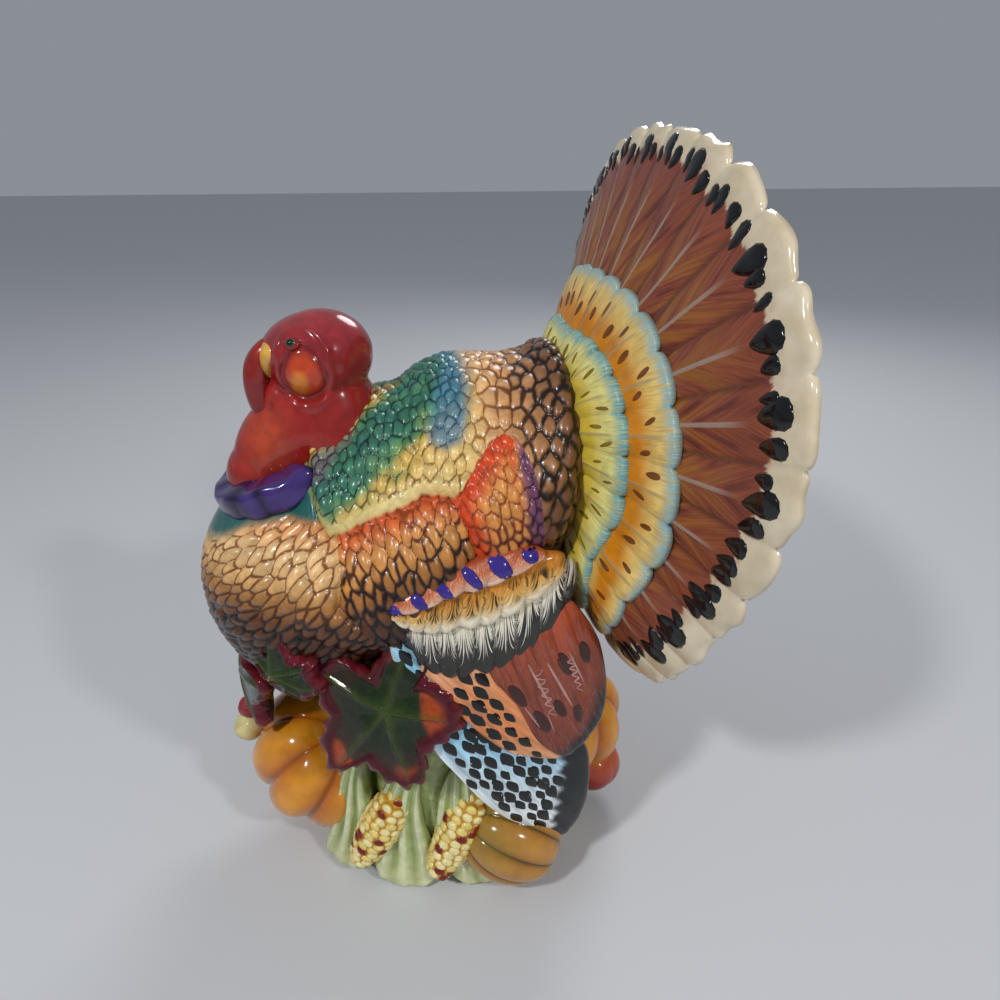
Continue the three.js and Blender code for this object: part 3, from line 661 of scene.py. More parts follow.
# Body: its sections, the forms raised on it and the skin through them
def body_section(y):
    """Middle height, half depth and half width at a place along the bird."""
    forward = smooth(BREAST_CENTRE, BACK_PLACE, y)
    rearward = smooth(BACK_PLACE, RUMP_REAR - RUMP_EDGE, y)
    nose = np.maximum(0, (BREAST_CENTRE - y) / BREAST_RADIUS)
    round_off = np.sqrt(np.maximum(0, 1 - nose ** 2))
    into_edge = np.clip(1 - (RUMP_REAR - y) / RUMP_EDGE, 0, 1)
    edge = RUMP_EDGE * (1 - np.sqrt(1 - into_edge ** 2))
    behind = np.maximum(0, y - BREAST_CENTRE)
    start = np.minimum(behind, BODY_RISE_START)
    middle = BREAST_HEIGHT + BODY_RISE * (start ** 2 / (2 * BODY_RISE_START) + behind - start)
    depth = mix(mix(BREAST_RADIUS, BACK_DEPTH, forward), RUMP_DEPTH, rearward) * round_off - edge
    width = mix(mix(BREAST_RADIUS, BACK_WIDTH, forward), RUMP_WIDTH, rearward) * round_off - edge
    return middle, depth, width


def lobe_rise(lobe, y, z):
    """How far a rounded lobe swells the side."""
    away = ((y - lobe["y"]) / lobe["along"]) ** 2 + ((z - lobe["z"]) / lobe["up"]) ** 2
    return np.where(away < 1, lobe["height"] * (1 - away ** 2), 0.0)


def above_mantle_edge(y, z):
    """How far a place lies above the lower edge of the cape."""
    line = np.array(MANTLE_EDGE, float)
    return (z - np.interp(y, line[:, 0], line[:, 1])) * 0.9


def behind_crease(y, z):
    """How far a place lies behind the crease between breast and flank."""
    line = np.array(CREASE, float)
    return y - np.interp(z, line[:, 1], line[:, 0])


def above_wing(y, z):
    """How far a place lies above the top line of the wing."""
    line = np.array(WING_TOP_LINE, float)
    return z - np.interp(y, line[:, 0], line[:, 1])


def inside_hip(y, z):
    """How far a place lies inside the hip patch."""
    return inside(np.stack([y, z], axis=1), HIP_OUTLINE)


def body_relief(y, z):
    """How far the cape, the hip patch and the flank crease stand from the plain casting."""
    edge = above_mantle_edge(y, z)
    cape = CAPE_STEP * smooth(-1.8, 2.8, edge)
    hip = HIP_STEP * smooth(-0.5, 3.5, inside_hip(y, z))
    crease = CREASE_DEPTH * np.exp(-(behind_crease(y, z) / 3.0) ** 2)
    crease = crease * smooth(146, 158, z) * smooth(190, 182, z)
    under = CAPE_UNDERCUT * np.exp(-((edge + 2.0) / 2.0) ** 2) * smooth(14, 6, y)
    return np.maximum(cape, hip) - crease - under


def collar_rise(angle, y):
    """The cape's front stands up round the neck."""
    return COLLAR_HEIGHT * smooth(0.60, 0.93, np.cos(angle)) * smooth(-53, -39, y) * smooth(-4, -22, y)


def body_shape(angle, y):
    """The skin at an angle from the top of the back, left side first, and a place along."""
    middle, depth, width = body_section(y)
    z = middle + depth * np.cos(angle)
    lobes = lobe_rise(FLANK_LOBE, y, z) + lobe_rise(HIP_LOBE, y, z)
    relief = body_relief(y, z) * smooth(0, 12, depth) + collar_rise(angle, y)
    x = np.sin(angle) * (width + lobes * np.abs(np.sin(angle)) + relief)
    return np.stack([x, y, z + np.cos(angle) * relief], axis=-1)


def body_frame(angle, y):
    """A place on the skin with the way along the bird, the way round it and the way out."""
    along = body_shape(angle, y + 0.4) - body_shape(angle, y - 0.4)
    around = body_shape(angle + 0.01, y) - body_shape(angle - 0.01, y)
    along = unit(along)
    around = unit(around)
    return body_shape(angle, y), along, around, unit(np.cross(around, along))


# Body paint
def teal_band(points):
    """The brushed teal band just below the neck ruff, as a share."""
    low = np.interp(points[:, 1], [-90, -86, -69, -53, -41, -36], [170, 173, 183, 187, 188, 198])
    return smooth(-1.5, 2.5, points[:, 2] - low) * smooth(-30, -38, points[:, 1])


def chest_paint(points):
    z = points[:, 2]
    # Darker brown low on the breast, in paint and ink alike: the bird's own airbrushed brown, deepened with
    # painted shade low down.
    paint = paint_run(z, [123, 139, 151, 160, 168, 177, 188],
                      ["2a140a", "48260f", "6e401e", "ac763e", "dcae70", "e8c088", "d98e4e"])
    seam = np.linalg.norm(np.abs(points) - np.array([40, -36, 181]), axis=1)
    paint = blend_paint(paint, tint("d65a1e"), 0.85 * smooth(19, 5, seam))
    ink = paint_run(z, [118, 150, 163, 178], ["080302", "120705", "6e3c18", "8e5422"])
    teal = teal_band(points)
    return blend_paint(paint, tint("265f5a"), teal), blend_paint(ink, tint("0f4a48"), teal)


def flank_paint(points):
    y = points[:, 1]
    z = points[:, 2]
    below = -above_mantle_edge(y, z)
    rest = above_wing(y, z)
    paint = paint_run(rest, [-20, 2, 11, 20, 30], ["2a140a", "5a3016", "8e5828", "c88844", "dc9c56"])
    paint = blend_paint(paint, tint("d24a20"), 0.85 * smooth(12, 2, below) * smooth(-40, -30, y))
    ink = paint_run(rest, [0, 10, 22, 34], ["080302", "120704", "3a1a0a", "8a3c12"])
    return paint, ink


def mantle_paint(points):
    mirrored = points.copy()
    mirrored[:, 0] = np.abs(mirrored[:, 0])
    y = points[:, 1]
    away = off_line(mirrored, GREEN_BAND) + 4.5 * wobble(points, size=4.0, seed=21)
    paint = paint_run(away, [0, 7, 12, 15, 19, 25],
                      ["306a5c", "3f7a5e", "6c925c", "aca45c", "d8b25a", "e4c278"])
    ink = paint_run(away, [0, 9, 15, 21], ["062a28", "0c3a2c", "3a5226", "8a6424"])
    blue = off_line(mirrored, BLUE_BAND)
    paint = blend_paint(paint, tint("4a7f96"), 0.85 * smooth(10, 4, blue))
    ink = blend_paint(ink, tint("244f68"), smooth(10, 4, blue))
    violet = smooth(8, 2, off_line(mirrored, NECK_LINE))
    ink = blend_paint(ink, tint("3a1a48"), violet)
    paint = blend_paint(paint, tint("8a6a6e"), 0.5 * violet)
    edge = above_mantle_edge(y, points[:, 2])
    paint = blend_paint(paint, tint("e8d28a"), 0.75 * smooth(8, 2, edge))
    rear = smooth(SADDLE_START - 6, SADDLE_START + 4, y)
    saddle, saddle_ink = saddle_paint(points)
    return blend_paint(paint, saddle, rear), blend_paint(ink, saddle_ink, rear)


def saddle_paint(points):
    y = points[:, 1]
    z = points[:, 2]
    back = y + smooth(215, 180, z) * 14
    paint = paint_run(back, [16, 26, 36, 46, 58], ["e6c27c", "dfae78", "c8925e", "a0704a", "7a4e32"])
    ink = paint_run(back, [18, 30, 38, 46], ["b07a36", "8a5226", "4a2814", "1e0f08"])
    return paint, ink


def hip_paint(points):
    y = points[:, 1]
    z = points[:, 2]
    depth = inside_hip(y, z)
    paint = paint_run(z, [165, 180, 200], ["a05a2a", "d08642", "dc964c"])
    ink = paint_run(z, [168, 182, 205], ["1a0b06", "5a2412", "a04418"])
    front = smooth(11, 3, depth) * smooth(36, 32, y)
    rear = smooth(9, 3, depth) * smooth(33, 37, y) * smooth(172, 180, z)
    paint = blend_paint(paint, tint("d2401a"), 0.95 * front)
    paint = blend_paint(paint, tint("5a2a5e"), 0.9 * rear)
    ink = blend_paint(ink, tint("341038"), rear)
    return paint, ink


def zone_at(places):
    """The feather zone of each place on the skin."""
    y = places[:, 1]
    z = places[:, 2]
    zone = np.where(behind_crease(y, z) < 0, CHEST, FLANK)
    zone = np.where(above_mantle_edge(y, z) > CAPE_ROLL / 2, MANTLE, zone)
    return np.where(inside_hip(y, z) > 0, HIP, zone)


def bare_edge(places):
    """The smooth roll along the lower edge of the cape, as a share."""
    y = places[:, 1]
    z = places[:, 2]
    edge = above_mantle_edge(y, z)
    roll = smooth(-1.6, 0.4, edge) * smooth(CAPE_ROLL + 1.2, CAPE_ROLL - 0.8, edge)
    return roll * smooth(15, 9, y) * smooth(0.5, -1.5, inside_hip(y, z))


def coat_paint(places, zone):
    """The wash on the crowns and the ink in the grooves, zone by zone."""
    paint, ink = chest_paint(places)
    for kind, paint_of in ((FLANK, flank_paint), (MANTLE, mantle_paint), (HIP, hip_paint)):
        here = zone == kind
        paint[here], ink[here] = paint_of(places[here])
    cream = paint_run(places[:, 1], [-44, -36, -10, 14], ["8fa25c", "e2cf86", "ecd692", "e6bc74"])
    return blend_paint(paint, cream, bare_edge(places)), ink


def groove_width(places, zone):
    """How widely the ink lies in the grooves: fine on the pale breast, broad low down and to the rear."""
    y = places[:, 1]
    z = places[:, 2]
    low = np.where(zone == CHEST, smooth(166, 140, z), smooth(30, 8, above_wing(y, z)))
    rear = smooth(26, 44, y + smooth(215, 180, z) * 14)
    return np.where(zone == MANTLE, mix(1.4, 2.5, rear), mix(1.4, 3.0, low))


def lie_of_feathers(zone, at, along, down, out):
    """The way that feathers point: forward and down on the breast, down the sides elsewhere."""
    if zone == CHEST:
        drop = smooth(-86, -44, at[:, 1])[:, None]
        way = mix(np.array([0, -1.0, -0.30]), np.array([0, -0.6, -0.8]), drop)
    else:
        way = down + along * FEATHER_SLANTS[zone]
    return unit(way - out * (way * out).sum(axis=1)[:, None])


def along_bird(share):
    """Places along the bird at shares of the length of its side line, from the breast."""
    y = np.linspace(BREAST_FRONT, RUMP_REAR, 1200)
    side = np.stack([body_section(y)[2], y], axis=1)
    length = np.concatenate([[0], np.cumsum(np.linalg.norm(np.diff(side, axis=0), axis=1))])
    return np.interp(share * length[-1], length, y), length[-1]


def scatter_feathers(zone, half_long, half_wide, draw):
    """Feather centres spread evenly over a zone, closer across the feathers than along them."""
    angle = draw.uniform(-2.5, 2.5, FEATHER_TRIES)
    y, _ = along_bird(draw.uniform(0.0, 0.99, FEATHER_TRIES))
    at, along, around, out = body_frame(angle, y)
    here = zone_at(at) == zone
    at, along, out = at[here], along[here], out[here]
    down = around[here] * np.sign(angle[here])[:, None]
    way = lie_of_feathers(zone, at, along, down, out)
    way = unit(way + np.cross(out, way) * draw.normal(0, 0.14, len(at))[:, None])
    side = np.cross(out, way)
    grow = mix(1.0, 1.38, smooth(12, 30, at[:, 1])) if zone == MANTLE else np.ones(len(at))
    grow = grow * draw.uniform(0.88, 1.12, len(at))
    chosen = []
    gap = np.full(len(at), 9.0)
    while gap.max() > FEATHER_SPACING:
        spot = int(np.argmax(gap))
        chosen.append(spot)
        off = at - at[spot]
        long = off @ way[spot] / (2 * half_long * grow[spot])
        wide = off @ side[spot] / (2 * half_wide * grow[spot])
        gap = np.minimum(gap, np.sqrt(long ** 2 + wide ** 2 + (off @ out[spot] / 6) ** 2))
    size = np.stack([half_long * grow[chosen], half_wide * grow[chosen]], axis=1)
    return at[chosen], way[chosen], side[chosen], size, np.full(len(chosen), zone)


def scatter_all():
    """Every feather on the body, with how high it stands and its own tone."""
    draw = np.random.default_rng(11)
    found = [scatter_feathers(zone, *size, draw) for zone, size in FEATHER_SIZES.items()]
    at, way, side, size, zone = (np.concatenate(parts) for parts in zip(*found))
    count = len(at)
    return {"at": at, "way": way, "side": side, "size": size, "zone": zone,
            "high": draw.uniform(0.85, 1.25, count), "tone": draw.uniform(0.84, 1.12, count)}


def carved(places, zone, feathers):
    """Rise of the coat over the skin, depth of the groove left beside it, and each feather's tone: random
    from feather to feather, with painted shade at its root under the tips of the feathers above.
    """
    tree = KDTree(len(feathers["at"]))
    for index, at in enumerate(feathers["at"]):
        tree.insert(at, index)
    tree.balance()
    near = np.array([[index for _, index, _ in tree.find_n(place, 10)] for place in places])
    off = places[:, None, :] - feathers["at"][near]
    long = (off * feathers["way"][near]).sum(axis=2) / feathers["size"][near, 0]
    wide = (off * feathers["side"][near]).sum(axis=2) / feathers["size"][near, 1]
    wide = wide * (1 + 0.22 * np.clip(long, -1, 1))
    away = np.sqrt(long ** 2 + wide ** 2)
    height = feathers["high"][near] * (1 - away ** 2.6) + 0.55 * long
    height = height - 9.0 * (feathers["zone"][near] != zone[:, None])
    order = np.argsort(height, axis=1)
    rows = np.arange(len(places))
    first = order[:, -1]
    margin = height[rows, first] - height[rows, order[:, -2]]
    # Each feather is darker at its root, where the tips above lap over it: painted shade on top of its
    # random tone.
    tone = feathers["tone"][near[rows, first]] * mix(0.84, 1.08, smooth(-0.9, 0.5, long[rows, first]))
    return np.maximum(height[rows, first], -0.35), margin, tone


def coat_rows(start, end):
    """Rows of a band of the coat, as places along and how far each row is sunk out of sight."""
    _, length = along_bird(0.0)
    y, _ = along_bird(np.arange(0.0, 1.0, COAT_STEP / length))
    y = y[(y > start - COAT_LAP) & (y < end + COAT_LAP)]
    sink = 0.5 * smooth(end - 0.3, end + COAT_LAP, y)
    closing = [COAT_END_SINK] * 2
    last = [y[-1]] * 2
    if start <= BREAST_FRONT:
        return np.concatenate([[start], y[1:], last]), np.concatenate([[0.0], sink[1:], closing])
    sink = sink + 0.5 * smooth(start + 0.3, start - COAT_LAP, y)
    return np.concatenate([[y[0]] * 2, y, last]), np.concatenate([closing, sink, closing])


def coat_band(name, start, end, feathers, glaze):
    """A closed band of the body with its feathers carved in."""
    y_of, sink_of = coat_rows(start, end)
    rows = len(y_of) - 1
    form, turn, lift = ball(COAT_COLUMNS, rows)
    row = np.rint((lift / math.pi + 0.5) * rows).astype(int)
    angle = np.sign(turn) * np.interp(np.abs(turn), [0, 0.9 * math.pi, math.pi], [0, 2.45, math.pi])
    y = y_of[row]
    skin, _, _, out = body_frame(angle, y)
    poles = (row == 0) | (row == rows)
    skin[poles] = np.stack([0 * y[poles], y[poles], body_section(y[poles])[0]], axis=1)
    out[poles] = (0, -1, 0)
    zone = zone_at(skin)
    rise, margin, tone = carved(skin, zone, feathers)
    bare = np.maximum(bare_edge(skin), teal_band(skin) * (zone == CHEST))
    rise = mix(rise, 0.9, bare)
    rise = np.where(poles & (y > BREAST_FRONT + 1), 0, rise - sink_of[row])
    paint, ink = coat_paint(skin, zone)
    crown = mix(np.clip(margin / groove_width(skin, zone), 0, 1), 1.0, bare)
    # The tone carries painted shade at each feather's root as well as its random tone.
    tone = mix(tone, 1.0, bare)
    piece(name, form, skin + out * rise[:, None], glaze, "tan_glaze", ("body",),
          paint=paint * tone[:, None], ink=ink, crown=crown)


def make_coat(glaze):
    """The whole feathered body, in three bands that lap where they meet."""
    feathers = scatter_all()
    for name, start, end in COAT_BANDS:
        coat_band(name, start, end, feathers, glaze)


# Head: skull, cap, neck and its foot, throat, chin, wattle and its tip, and a pouch on each cheek
HEAD_FORMS = [((0, -37, 243.5), (20.5, 21.5, 18.5), 8), ((0, -40.5, 247.5), (19.5, 19.5, 13.5), 10),
              ((0, -30, 205), (22.5, 20.0, 44.0), 9), ((0, -34, 186), (28.0, 25.0, 26.0), 20),
              ((0, -47, 214), (18.5, 17.0, 26.0), -22), ((0, -53, 226), (12.0, 9.0, 12.0), 0),
              ((0, -58, 206), (16.5, 16.5, 25.0), -27), ((0, -65, 196), (16.0, 14.5, 16.0), -30),
              ((-14.6, -42.6, 242.0), (6.0, 6.8, 9.0), -4), ((14.6, -42.6, 242.0), (6.0, 6.8, 9.0), -4)]
EYE_PLACE = np.array([18.5, -46.5, 252.8])
SNOOD_LINE = [(2, -50.0, 250), (2.5, -56.5, 247.5), (3, -61.5, 240), (3, -62.0, 228), (2, -58.5, 214)]
BEAK_LINE = [(0, -48.5, 250), (0, -53.5, 248.5), (0, -56.0, 243.5), (0, -56.0, 235.5)]


def egg(form, centre, radii, lean):
    """Adds an egg to a form, leaning about X."""
    made = bmesh.ops.create_uvsphere(form, u_segments=32, v_segments=20, radius=1.0)["verts"]
    turn = math.radians(lean)
    for vertex in made:
        x, y, z = (c * r for c, r in zip(vertex.co, radii))
        y, z = y * math.cos(turn) - z * math.sin(turn), y * math.sin(turn) + z * math.cos(turn)
        vertex.co = (x + centre[0], y + centre[1], z + centre[2])


def melted(form, voxel, passes):
    """Fuses overlapping forms into one skin and softens the joins, as wet clay is smoothed."""
    mesh = bpy.data.meshes.new("clay")
    form.to_mesh(mesh)
    form.free()
    lump = bpy.data.objects.new("clay", mesh)
    bpy.context.scene.collection.objects.link(lump)
    fuse = lump.modifiers.new("fuse", "REMESH")
    fuse.mode = "VOXEL"
    fuse.voxel_size = voxel
    soften = lump.modifiers.new("soften", "SMOOTH")
    soften.factor = 0.5
    soften.iterations = passes
    bpy.context.view_layer.update()
    found = lump.evaluated_get(bpy.context.evaluated_depsgraph_get())
    smoothed = bmesh.new()
    smoothed.from_mesh(found.to_mesh())
    bpy.data.objects.remove(lump)
    bpy.data.meshes.remove(mesh)
    return smoothed


def make_head(glaze):
    """Skull cap, face, cheek pouches, wattle and neck, smoothed into one casting."""
    form = bmesh.new()
    for centre, radii, lean in HEAD_FORMS:
        egg(form, centre, radii, lean)
    skin = melted(form, voxel=0.9, passes=10)
    places = np.array([vertex.co[:] for vertex in skin.verts])
    x, y, z = np.abs(places[:, 0]), places[:, 1], places[:, 2]
    wide = mix(6.0, 8.0, smooth(252, 236, z))
    pouch = np.sqrt(((y + 42.6) / wide) ** 2 + ((z - 241.0) / 9.8) ** 2)
    hood = smooth(243, 251, z)
    carve = 1.2 * np.exp(-((pouch - 1.08) / 0.12) ** 2)
    carve = carve - mix(1.0, 1.7, hood) * np.exp(-((pouch - mix(1.40, 1.85, hood)) / 0.17) ** 2)
    places[:, 0] -= np.sign(places[:, 0]) * carve * smooth(9, 14, x)
    # Darker at the foot of the neck: painted shade where the neck meets the ruff.
    paint = paint_run(z + y * 0.25, [170, 185, 215, 240, 252],
                      ["6a1210", "921c18", "96221f", "8c2226", "983034"])
    wattle = smooth(-40, -56, y) * smooth(238, 224, z)
    paint = blend_paint(paint, tint("982820"), 0.70 * wattle)
    # Painted highlight: a warm orange glow on the bulge of the wattle.
    painted_glow = np.exp(-(((y + 60) / 9) ** 2 + ((z - 214) / 12) ** 2))
    paint = blend_paint(paint, tint("c8562c"), 0.5 * painted_glow * wattle)
    nape = smooth(-30, -16, y) * smooth(238, 205, z)
    paint = blend_paint(paint, tint("5a1210"), 0.7 * nape)
    paint = blend_paint(paint, tint("c8481c"), 0.85 * smooth(1.05, 0.6, pouch) * smooth(11, 15, x))
    # Painted highlight: a yellow spot on the front of each cheek pouch.
    drop = ((y + 44.5) / 4.2) ** 2 + ((z - 237.0) / 6.5) ** 2
    paint = blend_paint(paint, tint("d9922c"), 0.6 * smooth(1.2, 0.1, drop) * smooth(11, 15, x))
    ring = 0.7 * np.exp(-((pouch - 1.1) / 0.09) ** 2) * smooth(10, 14, x)
    paint = blend_paint(paint, tint("6e1512"), ring)
    head = piece("head_casting", skin, places, glaze, "crimson_glaze", ("head",), paint=paint)
    make_eyes(surface_of(head))


def make_eyes(skin):
    """Small dark eyes, set in lids under the brow."""
    pupil = plain_glaze("eye_black_glaze", "0d1210", spread=0.05)
    iris = plain_glaze("eye_green_glaze", "3a4a3c", spread=0.2)
    lid = plain_glaze("eyelid_glaze", "8a2218", spread=0.15)
    spot, out = touch(skin, EYE_PLACE, (1, -0.2, 0.1))
    up = np.array([0, 0, 1.0])
    fore = unit(np.cross(up, out))
    up = np.cross(out, fore)

    def disc(name, sizes, place, finish, slot):
        form, turn, lift = ball(columns=20, rows=14)
        a = np.cos(lift) * np.cos(turn) * sizes[0]
        b = np.cos(lift) * np.sin(turn) * sizes[1]
        c = np.sin(lift) * sizes[2]
        places = place + a[:, None] * fore + b[:, None] * up + c[:, None] * out
        pair(name, form, places, finish, slot)

    disc("eyelid", (3.4, 2.6, 1.3), spot - 0.3 * out, lid, "crimson_glaze")
    disc("eye", (2.4, 1.9, 1.5), spot, iris, "dark_red_glaze")
    disc("pupil", (1.5, 1.5, 1.0), spot + 0.75 * out, pupil, "dark_red_glaze")


def make_snood_and_beak(glaze):
    """The snood hangs from the brow in front of the beak."""
    form, places, share = limb(SNOOD_LINE, (1, 0, 0), wide=lambda s: 5.2 + 0.6 * s,
                               deep=lambda s: 5.0 + 0.6 * s, columns=24, rows=60)
    paint = paint_run(share, [0, 0.3, 0.7, 1], ["861d1a", "96241f", "7a1815", "641210"])
    piece("snood_casting", form, places, glaze, "dark_red_glaze", ("snood",), paint=paint)
    form, places, share = limb(BEAK_LINE, (1, 0, 0), wide=lambda s: 15.2 - 4.2 * s,
                               deep=lambda s: 5.4 - 0.6 * s, columns=24, rows=40)
    paint = paint_run(share, [0, 0.5, 1], ["d9a03c", "dca848", "b87a28"])
    piece("beak_casting", form, places, glaze, "ochre_glaze", ("beak",), paint=paint)


def make_ruff(glaze):
    """The purple ruff: a flat folded band round the foot of the throat, filled in to the neck."""
    bearing = np.radians(np.linspace(34, -214, 41))
    back = np.sin(bearing) * RUFF_LONG
    line = RUFF_MIDDLE + np.stack([np.cos(bearing) * RUFF_WIDE, back * math.cos(RUFF_TILT),
                                   back * math.sin(RUFF_TILT)], axis=1)
    form, turn, lift = ball(columns=48, rows=240)
    share = 0.5 + lift / math.pi
    ends = np.clip(np.minimum(share, 1 - share) / 0.035, 0, 1)
    round_off = np.sqrt(1 - (1 - ends) ** 2)
    folds = share * 7 + 0.3 + 0.22 * np.sin(share * 29)
    lobe = np.abs(np.cos(math.pi * folds))
    place = run(line, share)
    tangent = unit(run(line, share + 0.004) - run(line, share - 0.004))
    up = np.array([0, math.sin(-RUFF_TILT), math.cos(RUFF_TILT)])
    outward = unit(np.cross(up, tangent))
    outward = outward * np.sign(((place - RUFF_MIDDLE) * outward).sum(1))[:, None]
    lower = np.sin(turn) < 0
    tall = np.where(lower, 5.4 + 0.5 * lobe ** 0.6, 6.6 + 0.4 * np.sin(share * 43))
    thick = 4.4 + 0.5 * lobe ** 0.5 + 0.5 * np.sin(share * 58 + 3 * np.sin(turn)) * np.sin(turn)
    thick = np.where(np.cos(turn) < 0, RUFF_FILL, thick)
    places = place + outward * (thick * round_off * blunt(np.cos(turn), 0.55))[:, None]
    places = places + up * (tall * round_off * blunt(np.sin(turn), 0.6))[:, None]
    paint = paint_run(lobe, [0, 0.25, 0.7, 1.0], ["1c0d30", "2a174e", "3a2668", "402c70"])
    edge = smooth(-0.86, -0.97, np.sin(turn)) * smooth(0.1, 0.35, lobe)
    paint = blend_paint(paint, tint("c9b7d6"), 0.35 * edge)
    piece("ruff_casting", form, places, glaze, "purple_glaze", ("neck_ruff",), paint=paint)


# Tail
def off_top(turn):
    """Degrees off the top of the tail, above nothing on the bird's left."""
    return (90 - np.degrees(turn) + 180) % 360 - 180


def tail_reach(from_top):
    """How far the fan reaches, widest at the sides and cut straight across at its foot."""
    away = np.abs(from_top)
    wide = mix(FAN_TOP_REACH, FAN_WIDE_REACH, smooth(0, FAN_WIDEST, away))
    reach = mix(wide, FAN_LOW_REACH, smooth(FAN_WIDEST, FAN_LOWEST, away))
    low = np.cos(math.radians(180 - FAN_SPREAD)) / np.cos(np.radians(180 - np.maximum(away, FAN_SPREAD)))
    return reach * low


def cone_place(hub, from_top, reach, tucked=1.0):
    """A place on a tail cone and its front normal, from degrees off the top and a reach.

    Where it is tucked, the foot of the tail comes forward to meet the wings.
    """
    angle = np.radians(from_top)
    aside = np.sin(angle)
    above = np.cos(angle)
    level = math.sin(FAN_SWEEP)
    lean = math.cos(FAN_SWEEP)
    away = np.abs(from_top)
    tuck = tucked * FAN_TUCK * smooth(100, 140, away) * smooth(176, 154, away) * smooth(25, 75, reach)
    tuck = tuck * mix(1.0, 0.45, smooth(92, 125, reach))
    along = hub + reach * lean - tuck
    at = np.stack([aside * reach * level, along, TAIL_HUB_HEIGHT + above * reach * level], axis=-1)
    normal = np.stack([aside * lean, np.full_like(aside, -level), above * lean], axis=-1)
    return at, normal


def feather_share(from_top, pitch):
    """Where a bearing falls in its feather: nothing on the shaft, one at the edges."""
    place = from_top / pitch
    return 2 * np.abs(place - np.round(place)), np.round(place)


def cream_width(from_top):
    """How wide the cream rim is, narrow at the top of the fan."""
    return mix(10.0, 14.5, smooth(5, 60, np.abs(from_top)))


def make_fan(glaze):
    """The spread tail: a shell with a valley between feathers, raised shafts and a puffed rim."""
    form, turn, out, front = plate_grid(columns=720, front_rows=62, back_rows=10)
    from_top = off_top(turn)
    across, feather = feather_share(from_top, FAN_PITCH)
    full = tail_reach(from_top)
    ragged = 0.8 + 0.8 * np.sin(np.radians(from_top) * 37 + 1.4 * np.sin(np.radians(from_top) * 13))
    rim = full - FAN_SCALLOP * (1 - np.sqrt(np.maximum(0, 1 - across ** 2.4))) - ragged
    reach = rim * out
    tucked = np.where(front, 1.0, smooth(0.72, 1.0, out))
    at, normal = cone_place(RUMP_REAR, from_top, reach, tucked)
    share = reach / full
    inset = rim - reach
    spread = smooth(0.25, 0.5, share)
    dome = 1.3 * (1 - across ** 2) * spread
    shaft = 0.7 * np.exp(-(across / 0.09) ** 2) * spread * smooth(0.90, 0.80, share)
    cream = cream_width(from_top)
    puff = 1.5 * smooth(cream + 1.5, cream - 2.5, inset) * np.sqrt(np.maximum(0, 1 - across ** 2.2))
    ripple = 0.45 * wobble(at, size=9.0, seed=5)
    thick = (FAN_THICKNESS - 1.4) * cushion(out)
    face = thick + (dome + shaft + puff + ripple) * np.minimum(1, cushion(out) * 1.2)
    back = -FAN_THICKNESS * cushion(out) - (dome + shaft) * np.minimum(1, cushion(out))
    places = at + normal * np.where(front, face, back)[:, None]
    aside = np.radians(FAN_PITCH) * reach * across / 2
    barb = reach - aside * 1.9
    barbs = np.stack([barb, aside, feather * 7.3], axis=1)
    vane = np.stack([inset - cream, share, across], axis=1)
    fan = piece("tail_fan_shell", form, places, glaze, "red_brown_glaze", ("tail_fan",),
                barbs=barbs, vane=vane)
    make_fan_dabs(fan)


def make_fan_dabs(fan):
    """The band of black teardrops inside the cream rim."""
    black = plain_glaze("black_dab_glaze", "0b0c0f", spread=0.1)
    draw = np.random.default_rng(23)
    spots = []
    for feather in range(-12, 13):
        for step, size in ((-0.34, 0.95), (-0.02, 1.25), (0.32, 1.05)):
            bearing = np.array([(feather + step + draw.uniform(-0.09, 0.09)) * FAN_PITCH])
            inward = cream_width(bearing)[0] + 3.5 * abs(step) + draw.uniform(-1.6, 2.2)
            reach = tail_reach(bearing) - inward
            at, normal = cone_place(RUMP_REAR, bearing, reach)
            deep, _ = cone_place(RUMP_REAR, bearing, reach - 10)
            grow = mix(0.72, 1.0, float(smooth(0, 60, abs(bearing[0])))) * size * draw.uniform(0.72, 1.25)
            way = unit(deep - at)[0]
            side = np.cross(normal[0], way)
            way = unit(way + side * draw.normal(0, 0.22))
            spots.append((at[0], way, normal[0], 5.2 * grow, 3.1 * grow * draw.uniform(0.8, 1.15)))
    dabs("fan_black_dabs", fan, spots, black, "red_brown_glaze", rise=0.7, taper=0.5, corner=0.95)


def covert_reach(from_top, row):
    """The reach of a row of coverts, shorter over the back and longer low down."""
    away = np.abs(from_top)
    reach = row["reach"] * mix(row["top"], 1.0, smooth(0, COVERTS_WIDEST, away))
    return reach * mix(1.0, row["low"], smooth(118, 152, away))


def make_coverts(name, row, glaze, slot, thickness):
    """A short row of tail feathers in front of the fan."""
    form, turn, out, front = plate_grid(columns=480, front_rows=44, back_rows=8)
    from_top = off_top(turn)
    across, _ = feather_share(from_top, COVERTS_PITCH)
    rim = covert_reach(from_top, row) - COVERTS_SCALLOP * (1 - np.sqrt(np.maximum(0, 1 - across ** 2.2)))
    at, normal = cone_place(row["hub"], from_top, rim * out)
    inset = rim * (1 - out) * mix(1.0, 2.0, smooth(108, 136, np.abs(from_top)))
    spread = smooth(0.3, 0.6, out)
    dome = (1.5 * (1 - across ** 2) + 0.4 * np.exp(-(across / 0.1) ** 2)) * spread
    ripple = 0.35 * wobble(at, size=7.0, seed=8)
    face = (thickness - 1.0) * cushion(out) + (dome + ripple) * np.minimum(1, cushion(out) * 1.3)
    places = at + normal * np.where(front, face, -thickness * cushion(out))[:, None]
    angle = np.radians(from_top) * row["reach"]
    vane = np.stack([inset, out, across], axis=1)
    return piece(name + "_shell", form, places, glaze, slot, (name,), vane=vane, angle=angle)


